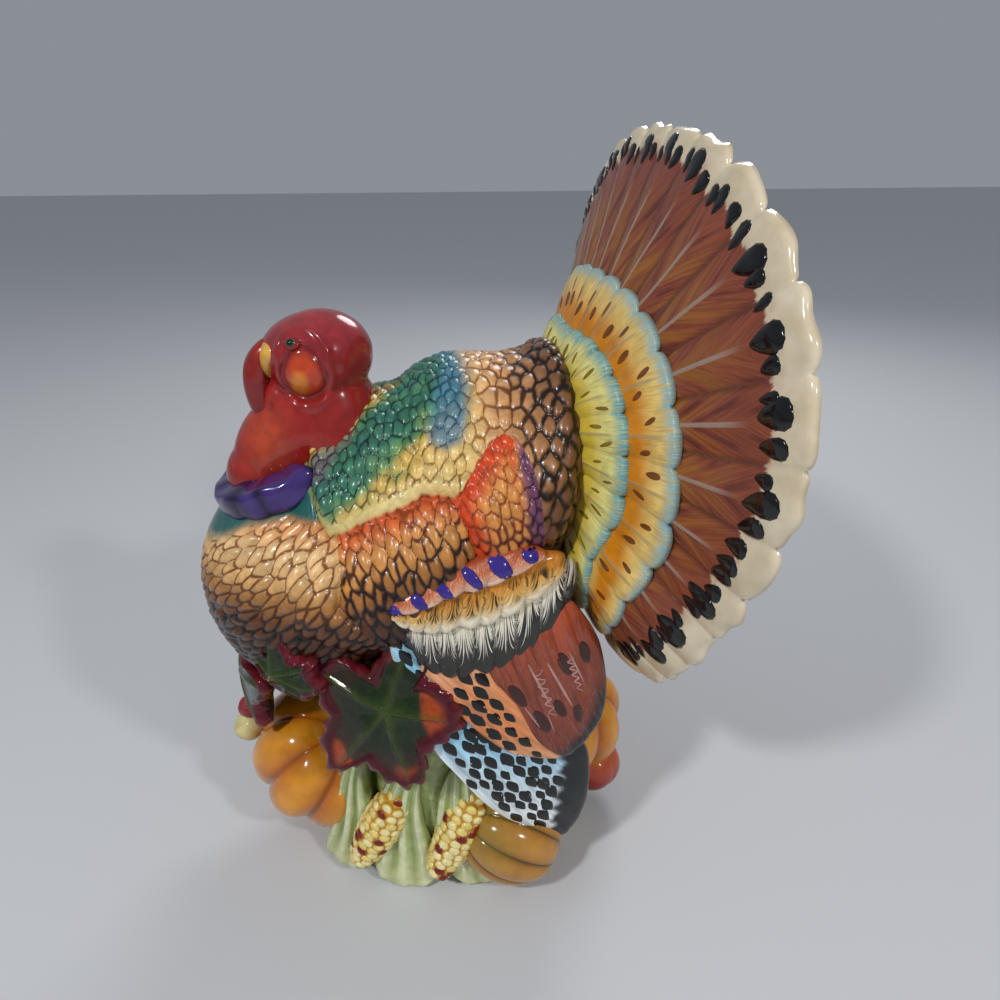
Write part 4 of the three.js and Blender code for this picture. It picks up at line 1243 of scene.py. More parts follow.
def covert_dashes(name, carrier, row, code, slot, insets, half_long, half_wide, seed):
    """Short dark dashes brushed on a row of coverts, two to a feather."""
    ink = plain_glaze(name + "_glaze", code, spread=0.25)
    draw = np.random.default_rng(seed)
    spots = []
    for k in range(-21, 22):
        bearing = np.array([(k + 0.5) * COVERTS_PITCH / 2 + draw.uniform(-1.2, 1.2)])
        full = covert_reach(bearing, row)
        inset = insets[k % len(insets)] + draw.uniform(-1.5, 1.5)
        at, normal = cone_place(row["hub"], bearing, full - inset)
        deep, _ = cone_place(row["hub"], bearing, full - inset - 8)
        inward = unit(deep - at)[0]
        way = unit(inward + np.cross(normal[0], inward) * draw.normal(0.15, 0.2))
        grow = draw.uniform(0.8, 1.2)
        spots.append((at[0], way, normal[0], half_long * grow, half_wide * grow))
    dabs(name, carrier, spots, ink, slot, rise=0.25, taper=0.2)


# Wings: rows of coverts over panels of quills
def wing_sheet(y, z, layer):
    """How far out a layer of the left wing lies."""
    low = (z - WING_TIP_HEIGHT) / (WING_TOP - WING_TIP_HEIGHT)
    belly = WING_BULGE * (1 - (low - 0.2) ** 2 / 0.64)
    sweep = ((y - BACK_PLACE - 10) / 25) ** 2
    return BACK_WIDTH - 4 + belly - sweep + layer * WING_LAYER


def make_row(name, top, bottom, glaze, slot, layer, thickness, lobes):
    """A row of lapped coverts between a top line and a lower line drawn in side view."""
    form, turn, out, front = plate_grid(columns=300, front_rows=34, back_rows=6)
    across = out * blunt(np.cos(turn), 0.5)
    down = 0.5 - 0.5 * out * blunt(np.sin(turn), 0.6)
    share = 0.5 + 0.5 * across
    phase = share * lobes
    lobe = 2 * (phase - np.round(phase))
    dome = np.sqrt(np.maximum(0, 1 - np.abs(lobe) ** 2.2))
    high = run(top, share)
    low = run(bottom, share)
    side_view = high + (low - high) * (down * (1 + 0.10 * (dome - 1) * smooth(0.5, 1, down)))[:, None]
    y, z = side_view[:, 0], side_view[:, 1]
    swell = 1.1 * dome * smooth(0.1, 0.6, down) + 0.25 * wobble(np.stack([y * 0, y, z], 1), size=5.0, seed=3)
    face = thickness * cushion(out) ** 0.8 + swell * np.minimum(1, cushion(out) * 1.2)
    x = wing_sheet(y, z, layer) + np.where(front, face, -ROW_BACKING * cushion(out))
    places = np.stack([x, y, z], axis=1)
    length = np.linalg.norm(np.diff(np.array(bottom, float), axis=0), axis=1).sum()
    row = np.stack([share * length, down, lobe], axis=1)
    return pair(name, form, places, glaze, slot, row=row)


# Rows of coverts in side view: top lines, lower lines, and the strokes on the shoulder
SHOULDER_TOP = [(-18, 163), (-6, 168), (6, 173), (20, 178), (34, 180), (44, 179)]
SHOULDER_LOW = [(-17, 157), (-6, 159), (6, 163.5), (17, 165.5), (30, 169), (45, 174)]
SPECKLED_TOP = [(-18, 163), (-6, 164), (6, 168), (20, 172), (34, 175), (54, 178)]
SPECKLED_LOW = [(-18, 153), (-9, 149.5), (2, 148), (16, 149), (32, 153), (53, 162)]
FRINGED_TOP = [(-14, 156), (-4, 155), (8, 155), (22, 157), (40, 163), (58, 176)]
FRINGED_LOW = [(-11, 139), (-3, 130), (9, 126.5), (22, 127.5), (38, 133), (60, 153)]
SHOULDER_STROKES = [(-15.5, 160, 3.6, 2.6), (-5.5, 163.5, 4.6, 2.4), (4, 167.5, 5.4, 2.2),
                    (15, 171.5, 6.2, 2.3), (26, 175, 6.4, 3.6), (38, 178.5, 4.0, 3.2)]


def make_wing_rows():
    """Shoulder, speckled and fringed rows, and the purple strokes on the shoulder."""
    shoulder = row_glaze("wing_shoulder_glaze", [0.0, 0.35, 0.7, 1.0],
                         ["a84a28", "c46a40", "dfa98a", "ecd6c4"])
    speckled = row_glaze("wing_speckled_glaze", [0.0, 0.35, 0.6, 0.85],
                         ["b8661e", "d08a2c", "dcae62", "efe4c8"], speckle=0.95)
    fringed = row_glaze("wing_fringed_glaze", [0.0, 0.2, 0.5, 0.9],
                        ["d8b878", "efe6cc", "efeade", "d8d2c2"],
                        hair="0c0a09", hair_from=0.41, hair_amount=0.97)
    make_row("wing_fringed_row", FRINGED_TOP, FRINGED_LOW, fringed, "cream_glaze",
             layer=0.1, thickness=4.5, lobes=9)
    make_row("wing_speckled_row", SPECKLED_TOP, SPECKLED_LOW, speckled, "ochre_glaze",
             layer=1.0, thickness=4.5, lobes=9)
    rows = make_row("wing_shoulder_row", SHOULDER_TOP, SHOULDER_LOW, shoulder, "salmon_glaze",
                    layer=1.9, thickness=4.2, lobes=7)
    purple = plain_glaze("purple_dab_glaze", "3a2a86", spread=0.15)
    for carrier, (side, word) in zip(rows, SIDES):
        spots = []
        for y, z, half_long, half_wide in SHOULDER_STROKES:
            spots.append(((side * WING_FACE, y, z), (0, 0.62, -0.78), (side, 0, 0.15), half_long, half_wide))
        dabs(word + "_shoulder_strokes", carrier, spots, purple, "purple_glaze", rise=0.7, taper=0.15)


# Panels of quills in side view: an outline, where the quills start and end, and the layer they lie in
BROWN_QUILLS = {"root": (36, 152), "tip": (60, 82), "layer": 0.3, "outline": [
    (24, 142), (40, 149), (54, 153), (62, 145), (69, 131), (72, 112), (70, 97), (62, 86), (53, 81),
    (43, 89), (35, 101), (27, 115), (20, 130)]}
SALMON_QUILLS = {"root": (-2, 140), "tip": (54, 80), "layer": -0.2, "outline": [
    (-6, 132), (8, 138), (26, 140), (38, 122), (48, 102), (56, 86), (52, 79.5), (40, 82), (29, 87),
    (18, 97), (7, 110), (-3, 125)]}
BLUE_QUILLS = {"root": (-14, 148), "tip": (60, 34), "layer": -1.0, "outline": [
    (-17, 153), (-8, 152), (6, 134), (22, 112), (46, 96), (63, 82), (67, 66), (66, 47), (61, 34), (54, 29),
    (43, 37), (31, 45), (22, 54), (14, 65), (6, 77), (-2, 89), (-8, 103), (-14, 122), (-19, 142)]}

# Marks on the brown quills: a place, a way and a size, and scribbles from top to foot with their swing
BROWN_OVALS = [
    ((32, 117), (0.5, -0.85), 1.5), ((42, 103), (0.5, -0.85), 1.6), ((52, 128), (0.42, -0.9), 1.4),
    ((61, 131), (0.3, -0.95), 1.3), ((50, 108), (0.45, -0.9), 1.2), ((58, 104), (0.3, -0.95), 1.2)]
BROWN_SHAFTS = [
    ((41, 121), (0.42, -0.9), 1.6), ((50, 119), (0.45, -0.9), 1.8), ((57, 126), (0.4, -0.92), 1.2),
    ((38, 106), (0.5, -0.85), 1.0), ((46, 102), (0.3, -0.95), 0.8)]
BROWN_SCRIBBLES = [((40, 128), (47, 105), 2.2), ((54, 131), (59, 114), 1.6)]


def quill_ways(quills):
    """The way along a panel's quills and the way across them, in side view."""
    along = unit(np.array(quills["tip"], float) - np.array(quills["root"], float))
    return along, np.array([-along[1], along[0]])


def make_panel(name, quills, glaze, slot, paint_of, thickness):
    """A panel of lapped quills inside its outline, running from root to tip."""
    form, turn, out, front = plate_grid(columns=160, front_rows=40, back_rows=8)
    rim = loop(quills["outline"], turn / (2 * math.pi))
    middle = np.mean(np.array(quills["outline"], float), axis=0)
    side_view = middle + (rim - middle) * out[:, None]
    y, z = side_view[:, 0], side_view[:, 1]
    way, side = quill_ways(quills)
    along = (side_view - np.array(quills["root"])) @ way
    aside = (side_view - np.array(quills["root"])) @ side
    lap = np.mod(aside / QUILL_PITCH + 0.25, 1.0)
    swell = 1.1 * smooth(0.0, 0.85, lap) * smooth(1.0, 0.88, lap)
    swell = swell + 0.3 * wobble(np.stack([y * 0, y, z], 1), size=7.0, seed=4)
    face = thickness * cushion(out) + swell * cushion(out)
    x = wing_sheet(y, z, quills["layer"]) + np.where(front, face, -QUILL_BACKING * cushion(out))
    places = np.stack([x, y, z], axis=1)
    edge = np.linalg.norm(rim - side_view, axis=1)
    quill = np.stack([along, aside, edge], axis=1)
    return pair(name, form, places, glaze, slot, quill=quill, paint=paint_of(y, z, edge))


def brown_paint(y, z, edge):
    paint = paint_run(z, [80, 100, 130, 150], ["6e2a1a", "7c3520", "8a3c24", "a84a2c"])
    dark = smooth(11, 4, edge) * smooth(54, 62, y) * smooth(125, 104, z)
    low = smooth(11, 4, edge) * smooth(104, 90, z) * smooth(46, 56, y)
    return blend_paint(paint, tint("0a0706"), np.maximum(dark, low))


def salmon_paint(_y, z, _edge):
    return paint_run(z, [82, 100, 120, 138], ["e0a070", "d68450", "e0925e", "eab088"])


def blue_paint(y, z, edge):
    paint = paint_run(z + 0.3 * y, [60, 78, 96, 120, 140],
                      ["e6ecec", "d2e2ea", "9ccbe2", "79bcdc", "a8d2e4"])
    paint = blend_paint(paint, tint("e8eef0"), 0.7 * smooth(5, 1, edge))
    tipped = smooth(49, 53, y + 0.10 * (60 - z) + 1.5 * np.sin(z * 0.9))
    return blend_paint(paint, tint("08080a"), tipped)


def spots_in(quills, pitch, aside_pitch, seed, keep):
    """Staggered places for painted spots on a panel of quills."""
    way, side = quill_ways(quills)
    draw = np.random.default_rng(seed)
    found = []
    for row in range(-12, 13):
        for k in range(-4, 26):
            place = np.array(quills["root"]) + way * (k + 0.5 * (row % 2)) * pitch
            place = place + side * row * aside_pitch + draw.uniform(-1.0, 1.0, 2)
            if inside(place[None], quills["outline"])[0] > 2.2 and keep(place):
                found.append((place, way, draw.uniform(0.8, 1.15)))
    return found


def spot_pair(name, carriers, quills, found, glaze, slot, half_long, half_wide, rise=0.3, corner=1.4):
    """The same painted spots on the left panel and, mirrored, on the right one."""
    for carrier, (side, word) in zip(carriers, SIDES):
        spots = []
        for place, way, grow in found:
            x = side * (wing_sheet(place[0], place[1], quills["layer"]) + 4)
            spots.append(((x, place[0], place[1]), (0, way[0], way[1]), (side, 0, 0),
                          half_long * grow, half_wide * grow))
        dabs(f"{word}_{name}", carrier, spots, glaze, slot, rise, taper=0.1, corner=corner)


def make_quills():
    """Blue, salmon and brown panels with their painted spots."""
    black = plain_glaze("black_spot_glaze", "0a0a0b", spread=0.1)
    oval = plain_glaze("dark_oval_glaze", "3c1712", spread=0.3)
    pale = plain_glaze("pale_shaft_glaze", "b58a84", spread=0.2)
    plain = quill_glaze("wing_quill_glaze")
    streaked = quill_glaze("wing_brown_glaze", pale_lines=0.25)
    blue = make_panel("wing_blue_quills", BLUE_QUILLS, plain, "pale_blue_glaze", blue_paint,
                      thickness=4.0)
    salmon = make_panel("wing_salmon_quills", SALMON_QUILLS, plain, "salmon_glaze", salmon_paint,
                        thickness=4.0)
    brown = make_panel("wing_brown_quills", BROWN_QUILLS, streaked, "red_brown_glaze", brown_paint,
                       thickness=4.2)
    spots = spots_in(BLUE_QUILLS, pitch=8.6, aside_pitch=4.9, seed=31,
                     keep=lambda p: p[0] + 0.10 * (60 - p[1]) < 51)
    spot_pair("blue_spots", blue, BLUE_QUILLS, spots, black, "pale_blue_glaze",
              half_long=4.4, half_wide=2.5)
    spots = spots_in(SALMON_QUILLS, pitch=9.2, aside_pitch=5.0, seed=37,
                     keep=lambda p: inside(p[None], BROWN_QUILLS["outline"])[0] < -1.5 and p[1] < 127)
    spot_pair("salmon_spots", salmon, SALMON_QUILLS, spots, black, "salmon_glaze",
              half_long=4.2, half_wide=2.2)
    spot_pair("brown_ovals", brown, BROWN_QUILLS, BROWN_OVALS, oval, "red_brown_glaze",
              half_long=4.2, half_wide=1.7, rise=0.2, corner=1.0)
    spot_pair("brown_shafts", brown, BROWN_QUILLS, BROWN_SHAFTS, pale, "red_brown_glaze",
              half_long=7.0, half_wide=0.35, rise=0.35, corner=1.0)
    make_squiggles(brown, pale)


def make_squiggles(carriers, glaze):
    """Two loose pale scribbles down each brown panel."""
    for carrier, (side, word) in zip(carriers, SIDES):
        surface = surface_of(carrier)
        for number, (top, low, swing) in enumerate(BROWN_SCRIBBLES, 1):
            places = []
            for share in np.linspace(0, 1, 60):
                y, z = mix(np.array(top, float), np.array(low, float), share)
                y = y + swing * math.sin(share * 34) * (1 - 0.5 * share)
                spot, normal = touch(surface, np.array([side * WING_FACE, y, z]), (side, 0, 0))
                places.append(spot + normal * 0.1)
            form, shape, _ = limb(places, (side, 0, 0), wide=lambda s: 0.28, deep=lambda s: 0.35,
                                  columns=8, rows=160)
            piece(f"{word}_squiggle_{number}", form, shape, glaze, "red_brown_glaze")


# Mound and harvest sprigs
def mound_taper(z):
    """How much of its full girth the mound keeps at a height."""
    return 1 - (1 - BASE_WAIST) * np.clip(z / BASE_HEIGHT, 0, 1) ** 1.2


def mound_place(bearing, z, outward):
    """A place on the mound's side, or out from it, at a bearing from the bird's left."""
    angle, z, outward = np.broadcast_arrays(np.radians(bearing), np.asarray(z, float), outward)
    share = mound_taper(z)
    x = np.cos(angle) * BASE_WIDTH / 2
    y = np.sin(angle) * BASE_LENGTH / 2
    out = unit(np.stack([np.cos(angle) / BASE_WIDTH, np.sin(angle) / BASE_LENGTH, 0 * z], axis=-1))
    at = np.stack([x * share, y * share + BASE_SHIFT, z], axis=-1)
    return at + out * outward[..., None]


def make_mound(glaze):
    """The heap under the bird, ribbed like bound straw, with a flat foot."""
    form, turn, lift = ball(columns=260, rows=90)
    foot, flank, top = 0.06, 0.82, 0.12
    level = np.clip((lift / math.pi + 0.5 - foot) / flank, 0, 1)
    z = level * BASE_HEIGHT
    share = mound_taper(z)
    cap = np.clip((0.5 + lift / math.pi) / foot, 0, 1) * np.clip((0.5 - lift / math.pi) / top, 0, 1)
    bundle = np.abs(np.sin(turn * 9 + 0.9 * np.sin(z * 0.05 + turn * 3)))
    veins = np.abs(np.sin(turn * 54 + 5.4 * np.sin(z * 0.05 + turn * 3)))
    rib = STRAW_BUNDLE * bundle ** 0.5 + STRAW_VEIN * veins - STRAW_SINK
    x = np.cos(turn) * (BASE_WIDTH / 2 * share + rib) * cap
    y = np.sin(turn) * (BASE_LENGTH / 2 * share + rib) * cap + BASE_SHIFT
    places = np.stack([x, y, z], axis=1)
    paint = paint_run(bundle * 0.8 + veins * 0.2, [0, 0.3, 0.7, 1], ["2f3414", "5f6c32", "8f9c58", "b4bc80"])
    paint = blend_paint(paint, tint("3a2412"), smooth(75, 110, z))
    piece("straw_mound", form, places, glaze, "earth_glaze", ("base_mound",), paint=paint)


def turned_to(axis):
    """Three directions with the last along an axis."""
    axis = unit(np.asarray(axis, float))
    first = unit(np.cross([0.0, 1.0, 0.2], axis))
    return first, np.cross(axis, first), axis


def fruit(centre, axis, radius, depth, ribs, rib_depth, columns=180, rows=70):
    """A ribbed fruit about an axis, dimpled at both ends."""
    form, turn, lift = ball(columns, rows)
    rib = np.abs(np.cos(ribs * turn / 2)) ** 0.6
    flat = radius * np.cos(lift) * (1 - rib_depth * (1 - rib))
    high = depth * np.sin(lift) * (1 - 0.32 * np.abs(np.sin(lift)) ** 7)
    u, v, w = turned_to(axis)
    places = flat[:, None] * (np.cos(turn)[:, None] * u + np.sin(turn)[:, None] * v) + high[:, None] * w
    return form, places + np.asarray(centre), rib, lift


def mound_fruit(bearing, height, sink, radius):
    """The centre of a fruit that is sunk into the mound's side."""
    return mound_place(bearing, height, radius - sink)


def make_fruit(glaze):
    """Pumpkins front and rear, gourds at the sides and two apples."""
    def pumpkin(name, centre, size, axis):
        form, places, rib, lift = fruit(centre, axis, radius=size, depth=0.9 * size, ribs=8, rib_depth=0.17)
        paint = paint_run(rib, [0, 0.3, 0.75, 1], ["7a3808", "b8640f", "d08018", "dc9226"])
        paint = blend_paint(paint, tint("b5661a"), 0.5 * smooth(0.9, 1.4, lift))
        piece(name + "_shell", form, places, glaze, "amber_glaze", (name,), paint=paint)

    place = mound_fruit(bearing=-90, height=42, sink=38, radius=37)
    pumpkin("front_pumpkin", place, size=37.5, axis=(0.45, 0.42, 0.80))
    place = mound_fruit(bearing=90, height=49, sink=48, radius=37)
    pumpkin("rear_pumpkin", place, size=37.0, axis=(0.35, 0.3, 0.85))
    gourd = mound_fruit(bearing=17, height=26, sink=19, radius=24)
    form, places, rib, _ = fruit(gourd, (0.15, 0.85, -0.45), radius=23.0, depth=26.5, ribs=9, rib_depth=0.08)
    paint = paint_run(rib, [0, 0.25, 0.6, 1], ["4a3412", "84601c", "b0762a", "bc863a"])
    olive = smooth(6, -14, places[:, 1] - gourd[1]) * smooth(-6, 12, places[:, 2] - gourd[2])
    paint = blend_paint(paint, tint("74702c"), 0.45 * olive)
    pair("gourd", form, places, glaze, "ochre_glaze", paint=paint)
    for name, bearing, height in (("front_apple", -116, 52), ("rear_apple", 80, 21)):
        centre = mound_fruit(bearing, height, sink=8, radius=15)
        form, places, _, _ = fruit(centre, (0.2, 0.3, 0.9), radius=15.2, depth=15.0, ribs=6, rib_depth=0.05,
                                   columns=90, rows=40)
        paint = paint_run(places[:, 2] - centre[2], [-14, -2, 8, 14],
                          ["7c1418", "a42a22", "bc5a32", "cf9a50"])
        piece(name + "_shell", form, places, glaze, "crimson_glaze", (name,), paint=paint)


def make_crab_apples(glaze):
    """A cream and a red crab apple tucked in beside the front pumpkin."""
    apples = (("cream_crab_apple", (-16, -91.5, 49), 7.8, "b8963c", "e4d698"),
              ("red_crab_apple", (-18, -90.0, 59.5), 6.2, "6c1420", "983034"))
    for name, centre, radius, low, high in apples:
        form, places, _, _ = fruit(centre, (0.3, -0.6, 0.7), radius=radius, depth=radius, ribs=5,
                                   rib_depth=0.08, columns=60, rows=28)
        paint = paint_run(places[:, 2] - centre[2], [-radius, 0.4 * radius], [low, high])
        piece(name, form, places, glaze, "crimson_glaze", paint=paint)


def cob_line(bearing):
    """The tip and the top of a cob that leans on the mound."""
    tip = mound_place(bearing, z=9.5, outward=8.5)
    top = mound_place(bearing + 14, z=44.0, outward=3.5)
    return tip, tip + unit(top - tip) * COB_LENGTH


def cob_girth(share):
    """The half girth of a cob, slimmer at its tip."""
    return COB_GIRTH * (0.68 + 0.40 * share)


def kernels(at, axis, face):
    """Kernels at places on a cob, each lying along it with its crown towards its face."""
    form, turn, lift = ball(columns=10, rows=7)
    long = np.cos(lift) * np.cos(turn)
    wide = np.cos(lift) * np.sin(turn)
    crown = np.sin(lift)
    side = np.cross(face, axis)
    a = KERNEL_LONG * long
    b = KERNEL_WIDE * wide * (1 - 0.10 * long)
    c = KERNEL_DEEP * blunt(crown, 0.75) - (a * a + b * b) / (2 * KERNEL_BEND)
    places = at[:, None, :] + a[:, None] * axis + b[:, None] * side[:, None, :]
    places = places + c[:, None] * face[:, None, :]
    many = strewn(form, len(at))
    return many, places.reshape(-1, 3), np.tile(np.clip(crown, 0, 1), len(at)), len(turn)


def make_cob(name, glaze, kernel_glaze, draw, bearing):
    """A cob of maize, tip down, with rows of kernels and a bare cream tip."""
    tip, top = cob_line(bearing)
    form, places, share = limb([tip, (tip + top) / 2, top], (0, 1, 0), wide=cob_girth, deep=cob_girth,
                               columns=40, rows=40)
    paint = paint_run(share, [0, 0.10, 0.2, 1], ["efe3b4", "e9d490", "d8aa48", "c8902c"])
    pair(name, form, places, glaze, "yellow_glaze", paint=paint)
    axis = unit(top - tip)
    across = unit(np.cross(axis, [0, 0, 1.0]))
    thick = np.cross(axis, across)
    at, face, red = [], [], []
    for row in range(13):
        share = 0.10 + row * 0.073
        radius = cob_girth(share) * (1 - (2 * share - 1) ** 2) ** 0.4
        count = max(5, round(radius * 1.16))
        for k in range(count):
            angle = (k + 0.25 * (row % 2)) / count * 2 * math.pi
            out = across * math.cos(angle) + thick * math.sin(angle)
            at.append(tip + (top - tip) * share + out * (radius - 0.6))
            face.append(out)
            red.append(draw.uniform() <= 0.15)
    form, places, crown, each = kernels(np.array(at), axis, np.array(face))
    pale = np.where(draw.uniform(size=(len(at), 1)) > 0.5, tint("f0e2a0"), tint("ead27c"))
    chips = np.where(np.array(red)[:, None], tint("7a1a10"), pale)
    paint = np.repeat(chips, each, axis=0)
    ink = np.tile(tint("c8962c"), (len(paint), 1))
    pair(name + "_kernels", form, places, kernel_glaze, "yellow_glaze", paint=paint, ink=ink, crown=crown)


def make_husk(name, bearing, turn_back, glaze, seed):
    """A long pale-green husk blade with ribs along it."""
    form, turn, out, front = plate_grid(columns=120, front_rows=40, back_rows=6)
    aside = out * blunt(np.cos(turn), 0.6)
    up = 0.5 + 0.5 * out * blunt(np.sin(turn), 0.6)
    half = mix(17.0, 6.0, up ** 0.8)
    sway = turn_back * up + 3.0 * np.sin(up * 5 + seed)
    folds = aside * 11 + 2.0 * np.sin(up * 4 + seed)
    veins = 0.9 * np.sin(folds) + 0.35 * np.sin(folds * 2.6 + seed)
    curl = 3.0 * aside ** 2 * np.sin(up * 7 + seed + 2 * np.sign(aside)) + 2.5 * smooth(0.35, 0, up)
    face = 4.0 + (3.0 + veins) * cushion(out) + curl * smooth(0, 0.5, cushion(out))
    outward = np.where(front, face, 1.0 - 3.0 * cushion(out))
    places = mound_place(bearing + sway + np.degrees(aside * half / 58.0), mix(0.6, 70.0, up), outward)
    paint = paint_run(np.sin(folds), [-1, -0.3, 0.5, 1], ["8c9a5c", "aebb7c", "c8d09c", "d9deb6"])
    paint = blend_paint(paint, tint("dcdaa4"), 0.6 * smooth(0.3, 0.0, up))
    paint = blend_paint(paint, tint("66763c"), 0.45 * smooth(0.65, 1.0, up))
    pair(name, form, places, glaze, "sage_glaze", paint=paint)


# Leaves
MAPLE = {
    "outline": [(4, 32), (-2, 26), (-8, 16), (-15, 17), (-23, 20), (-33, 14), (-32, 4), (-27, -7),
                (-30, -17), (-28, -33), (-19, -31), (-11, -27), (-4, -34), (6, -38), (13, -31), (14, -20),
                (21, -14), (28, -6), (26, 4), (20, 11), (14, 14), (16, 21), (13, 30)],
    "middle": (-2, 0), "vein_ends": [(6, 24), (-28, 12), (-23, -28), (7, -33), (22, -3)]}
IVY = {
    "outline": [(0, 20), (-7, 15), (-9, 8), (-16, 9), (-22, 6), (-19, -2), (-14, -8), (-15, -16), (-8, -18),
                (0, -24), (8, -18), (15, -16), (14, -8), (19, -2), (22, 6), (16, 9), (9, 8), (7, 15)],
    "middle": (0, 0), "vein_ends": [(0, 17), (-18, 5), (18, 5), (0, -21), (-11, -14), (11, -14)]}


def make_leaf(name, leaf, glaze, ember, centre, normal, roll, grow, droop, margin):
    """A lobed leaf with a thick rolled margin and raised veins, pressed on what it covers.

    The ember tells how far each place on the leaf has turned orange.
    """
    form, turn, out, front = plate_grid(columns=264, front_rows=40, back_rows=8)
    rim = loop(leaf["outline"], turn / (2 * math.pi))
    teeth = 1 + 0.006 * margin * np.sin(turn * 29)
    flat = rim * (out * mix(1.0, teeth, smooth(0.8, 1.0, out)))[:, None]
    edge = np.linalg.norm(rim - flat, axis=1)
    vein = np.min([off_line(flat, [leaf["middle"], end]) for end in leaf["vein_ends"]], axis=0)
    dish = 1.4 * np.exp(-(vein / 1.3) ** 2) - 3.6 * smooth(0.35, 1.15, edge / margin)
    dish = dish + 1.3 * np.exp(-(vein / 5.5) ** 2)
    crinkle = 0.7 * wobble(np.stack([flat[:, 0], flat[:, 1], flat[:, 0] * 0], axis=1), size=4.0, seed=6)
    face = 5.0 * cushion(out) + (dish + crinkle) * cushion(out)
    height = np.where(front, face, -9.0 * cushion(out))
    height = height - flat[:, 0] ** 2 / droop[0] - flat[:, 1] ** 2 / droop[1]
    facing = unit(np.asarray(normal, float))
    across = unit(np.cross([0, 0, 1.0], facing))
    up = np.cross(facing, across)
    a = math.radians(roll)
    side = across * math.cos(a) + up * math.sin(a)
    rise = up * math.cos(a) - across * math.sin(a)
    places = np.asarray(centre) + grow * (flat[:, :1] * side + flat[:, 1:] * rise) + height[:, None] * facing
    paint = paint_run(np.linalg.norm(flat, axis=1), [0, 8, 18, 30], ["2e4218", "192c12", "22281a", "44201c"])
    warm = smooth(0.5, 1.0, wobble(places, size=9.0, seed=len(name)) + ember(flat))
    paint = blend_paint(paint, tint("b5481c"), 0.8 * warm * smooth(8, 16, np.linalg.norm(flat, axis=1)))
    paint = blend_paint(paint, tint("46541e"), 0.45 * np.exp(-(vein / 1.6) ** 2))
    paint = blend_paint(paint, tint("4c101c"), smooth(1.25, 0.6, edge / margin))
    paint = blend_paint(paint, tint("761c28"), 0.6 * smooth(0.45, 0.1, edge / margin))
    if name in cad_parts:
        piece(name + "_casting", form, places, glaze, "burgundy_glaze", (name,), paint=paint)
    else:
        pair(name, form, places, glaze, "burgundy_glaze", paint=paint)


def make_leaves():
    """A big leaf and a breast leaf on each side, and one leaf in front."""
    glaze = leaf_glaze()
    make_leaf("big_leaf", MAPLE, glaze, lambda p: 0.9 * (smooth(6, 16, p[:, 0]) + smooth(14, 24, p[:, 1])),
              centre=(61.5, -19, 113), normal=(0.9, -0.25, 0.2), roll=0, grow=1.04, droop=(210.0, 210.0),
              margin=7.5)
    make_leaf("breast_leaf", IVY, glaze, lambda p: 0.5 * smooth(8, 18, p[:, 1]),
              centre=(43.5, -64, 125), normal=(0.72, -0.64, -0.2), roll=70, grow=0.92, droop=(90.0, 90.0),
              margin=4.5)
    make_leaf("front_leaf", IVY, glaze, lambda p: 0.0,
              centre=(0, -84, 97), normal=(0, -1, 0.0), roll=0, grow=1.3, droop=(42.0, 160.0), margin=2.0)


# Stage, light and camera
def make_stage():
    """A plain pale floor that runs out of sight."""
    form = bmesh.new()
    bmesh.ops.create_grid(form, x_segments=1, y_segments=1, size=6.0)
    mesh = bpy.data.meshes.new("floor")
    form.to_mesh(mesh)
    form.free()
    floor = bpy.data.objects.new("floor", mesh)
    bpy.context.scene.collection.objects.link(floor)
    paper = bpy.data.materials.new("pale_floor")
    paper.use_nodes = True
    shader = paper.node_tree.nodes["Principled BSDF"]
    shader.inputs["Base Color"].default_value = (0.62, 0.63, 0.65, 1)
    shader.inputs["Roughness"].default_value = 0.7
    mesh.materials.append(paper)


def make_lamp(name, place, size, power):
    """A round soft lamp that faces the bird."""
    lamp = bpy.data.lights.new(name, "AREA")
    lamp.shape = "DISK"
    lamp.size = size
    lamp.energy = power
    made = bpy.data.objects.new(name, lamp)
    made.location = place
    made.rotation_euler = (Vector(LAMP_AIM) - Vector(place)).to_track_quat("-Z", "Y").to_euler()
    bpy.context.scene.collection.objects.link(made)


def make_world():
    """A dim, cool light from all round."""
    world = bpy.data.worlds.new("studio")
    world.use_nodes = True
    sky = world.node_tree.nodes["Background"]
    sky.inputs["Color"].default_value = (0.80, 0.86, 0.95, 1)
    sky.inputs["Strength"].default_value = 0.32
    bpy.context.scene.world = world


def make_camera():
    """The photograph's view: from above the bird's left side, turned a little towards its tail."""
    lens = bpy.data.cameras.new("camera")
    lens.lens = CAMERA_LENS
    lens.sensor_width = 36.0
    lens.clip_start = 0.01
    made = bpy.data.objects.new("camera", lens)
    made.location = CAMERA_PLACE
    made.rotation_euler = (math.radians(90 - CAMERA_DOWN), 0, math.radians(CAMERA_TURN))
    bpy.context.scene.collection.objects.link(made)
    bpy.context.scene.camera = made


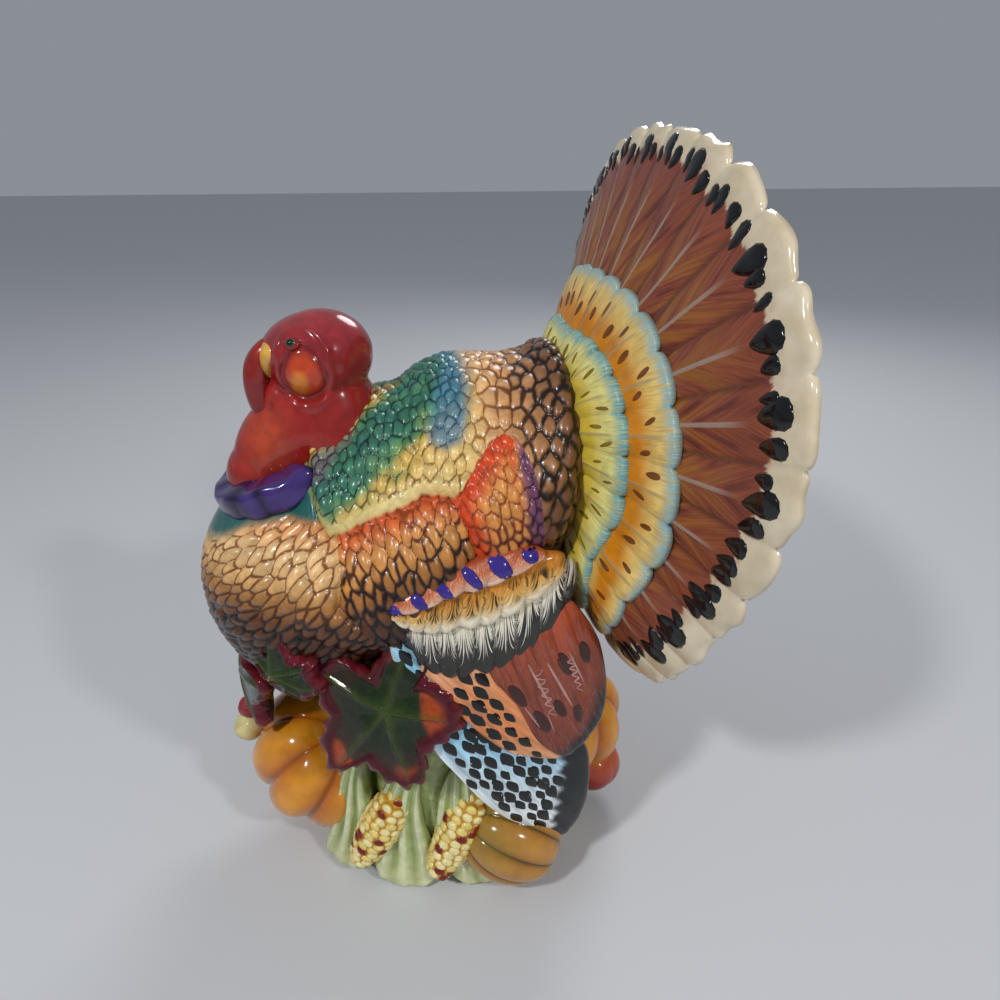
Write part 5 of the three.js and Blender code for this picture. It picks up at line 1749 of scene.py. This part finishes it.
# The whole object
def make_bird():
    """Feathered body, head and neck ruff."""
    make_coat(feather_glaze("feather_scale_glaze"))
    flesh = painted_glaze("red_flesh_glaze", brush=150.0, amount=0.25, ripple=0.15)
    make_head(flesh)
    make_snood_and_beak(flesh)
    make_ruff(painted_glaze("purple_ruff_glaze", brush=180.0, amount=0.2, ripple=0.1))


def make_tail():
    """The fan, with two short rows of feathers in front of it."""
    make_fan(fan_glaze())
    orange = coverts_glaze("orange_coverts_glaze", root="e2b45a", middle="dd8a14", outer="f4d27a",
                           fringe="7fbccc")
    yellow = coverts_glaze("yellow_coverts_glaze", root="f0e0a4", middle="e8ca48", outer="f0e890",
                           fringe="4fa8bc")
    outer = make_coverts("outer_tail_coverts", OUTER_COVERTS, orange, "orange_glaze", thickness=5.0)
    inner = make_coverts("inner_tail_coverts", INNER_COVERTS, yellow, "yellow_glaze", thickness=6.0)
    covert_dashes("orange_dashes", outer, OUTER_COVERTS, "7a4416", "orange_glaze",
                  insets=(17.0, 11.0), half_long=3.4, half_wide=1.25, seed=41)
    covert_dashes("yellow_dashes", inner, INNER_COVERTS, "8a7424", "yellow_glaze",
                  insets=(10.0, 15.0), half_long=3.2, half_wide=0.7, seed=43)


def make_harvest():
    """The mound with its fruit, husks, cobs and leaves."""
    rind = painted_glaze("rind_glaze", brush=90.0, amount=0.18, ripple=0.1)
    make_mound(painted_glaze("straw_glaze", brush=260.0, amount=0.3, ripple=0.3))
    make_fruit(rind)
    make_crab_apples(rind)
    blade = painted_glaze("husk_glaze", brush=180.0, amount=0.18, ripple=0.15)
    for name, bearing, turn_back, seed in (("front_husk", -58, 14, 0.0), ("middle_husk", -28, 6, 1.3),
                                           ("rear_husk", 6, -10, 2.1)):
        make_husk(name, bearing, turn_back, blade, seed)
    kernel_glaze = feather_glaze("kernel_glaze")
    draw = np.random.default_rng(5)
    make_cob("front_cob", rind, kernel_glaze, draw, bearing=-44)
    make_cob("rear_cob", rind, kernel_glaze, draw, bearing=-13)
    make_leaves()


make_camera()
make_world()
make_stage()
for lamp in LAMPS:
    make_lamp(*lamp)
bpy.context.scene.view_settings.view_transform = "Standard"

make_bird()
make_tail()
make_wing_rows()
make_quills()
make_harvest()
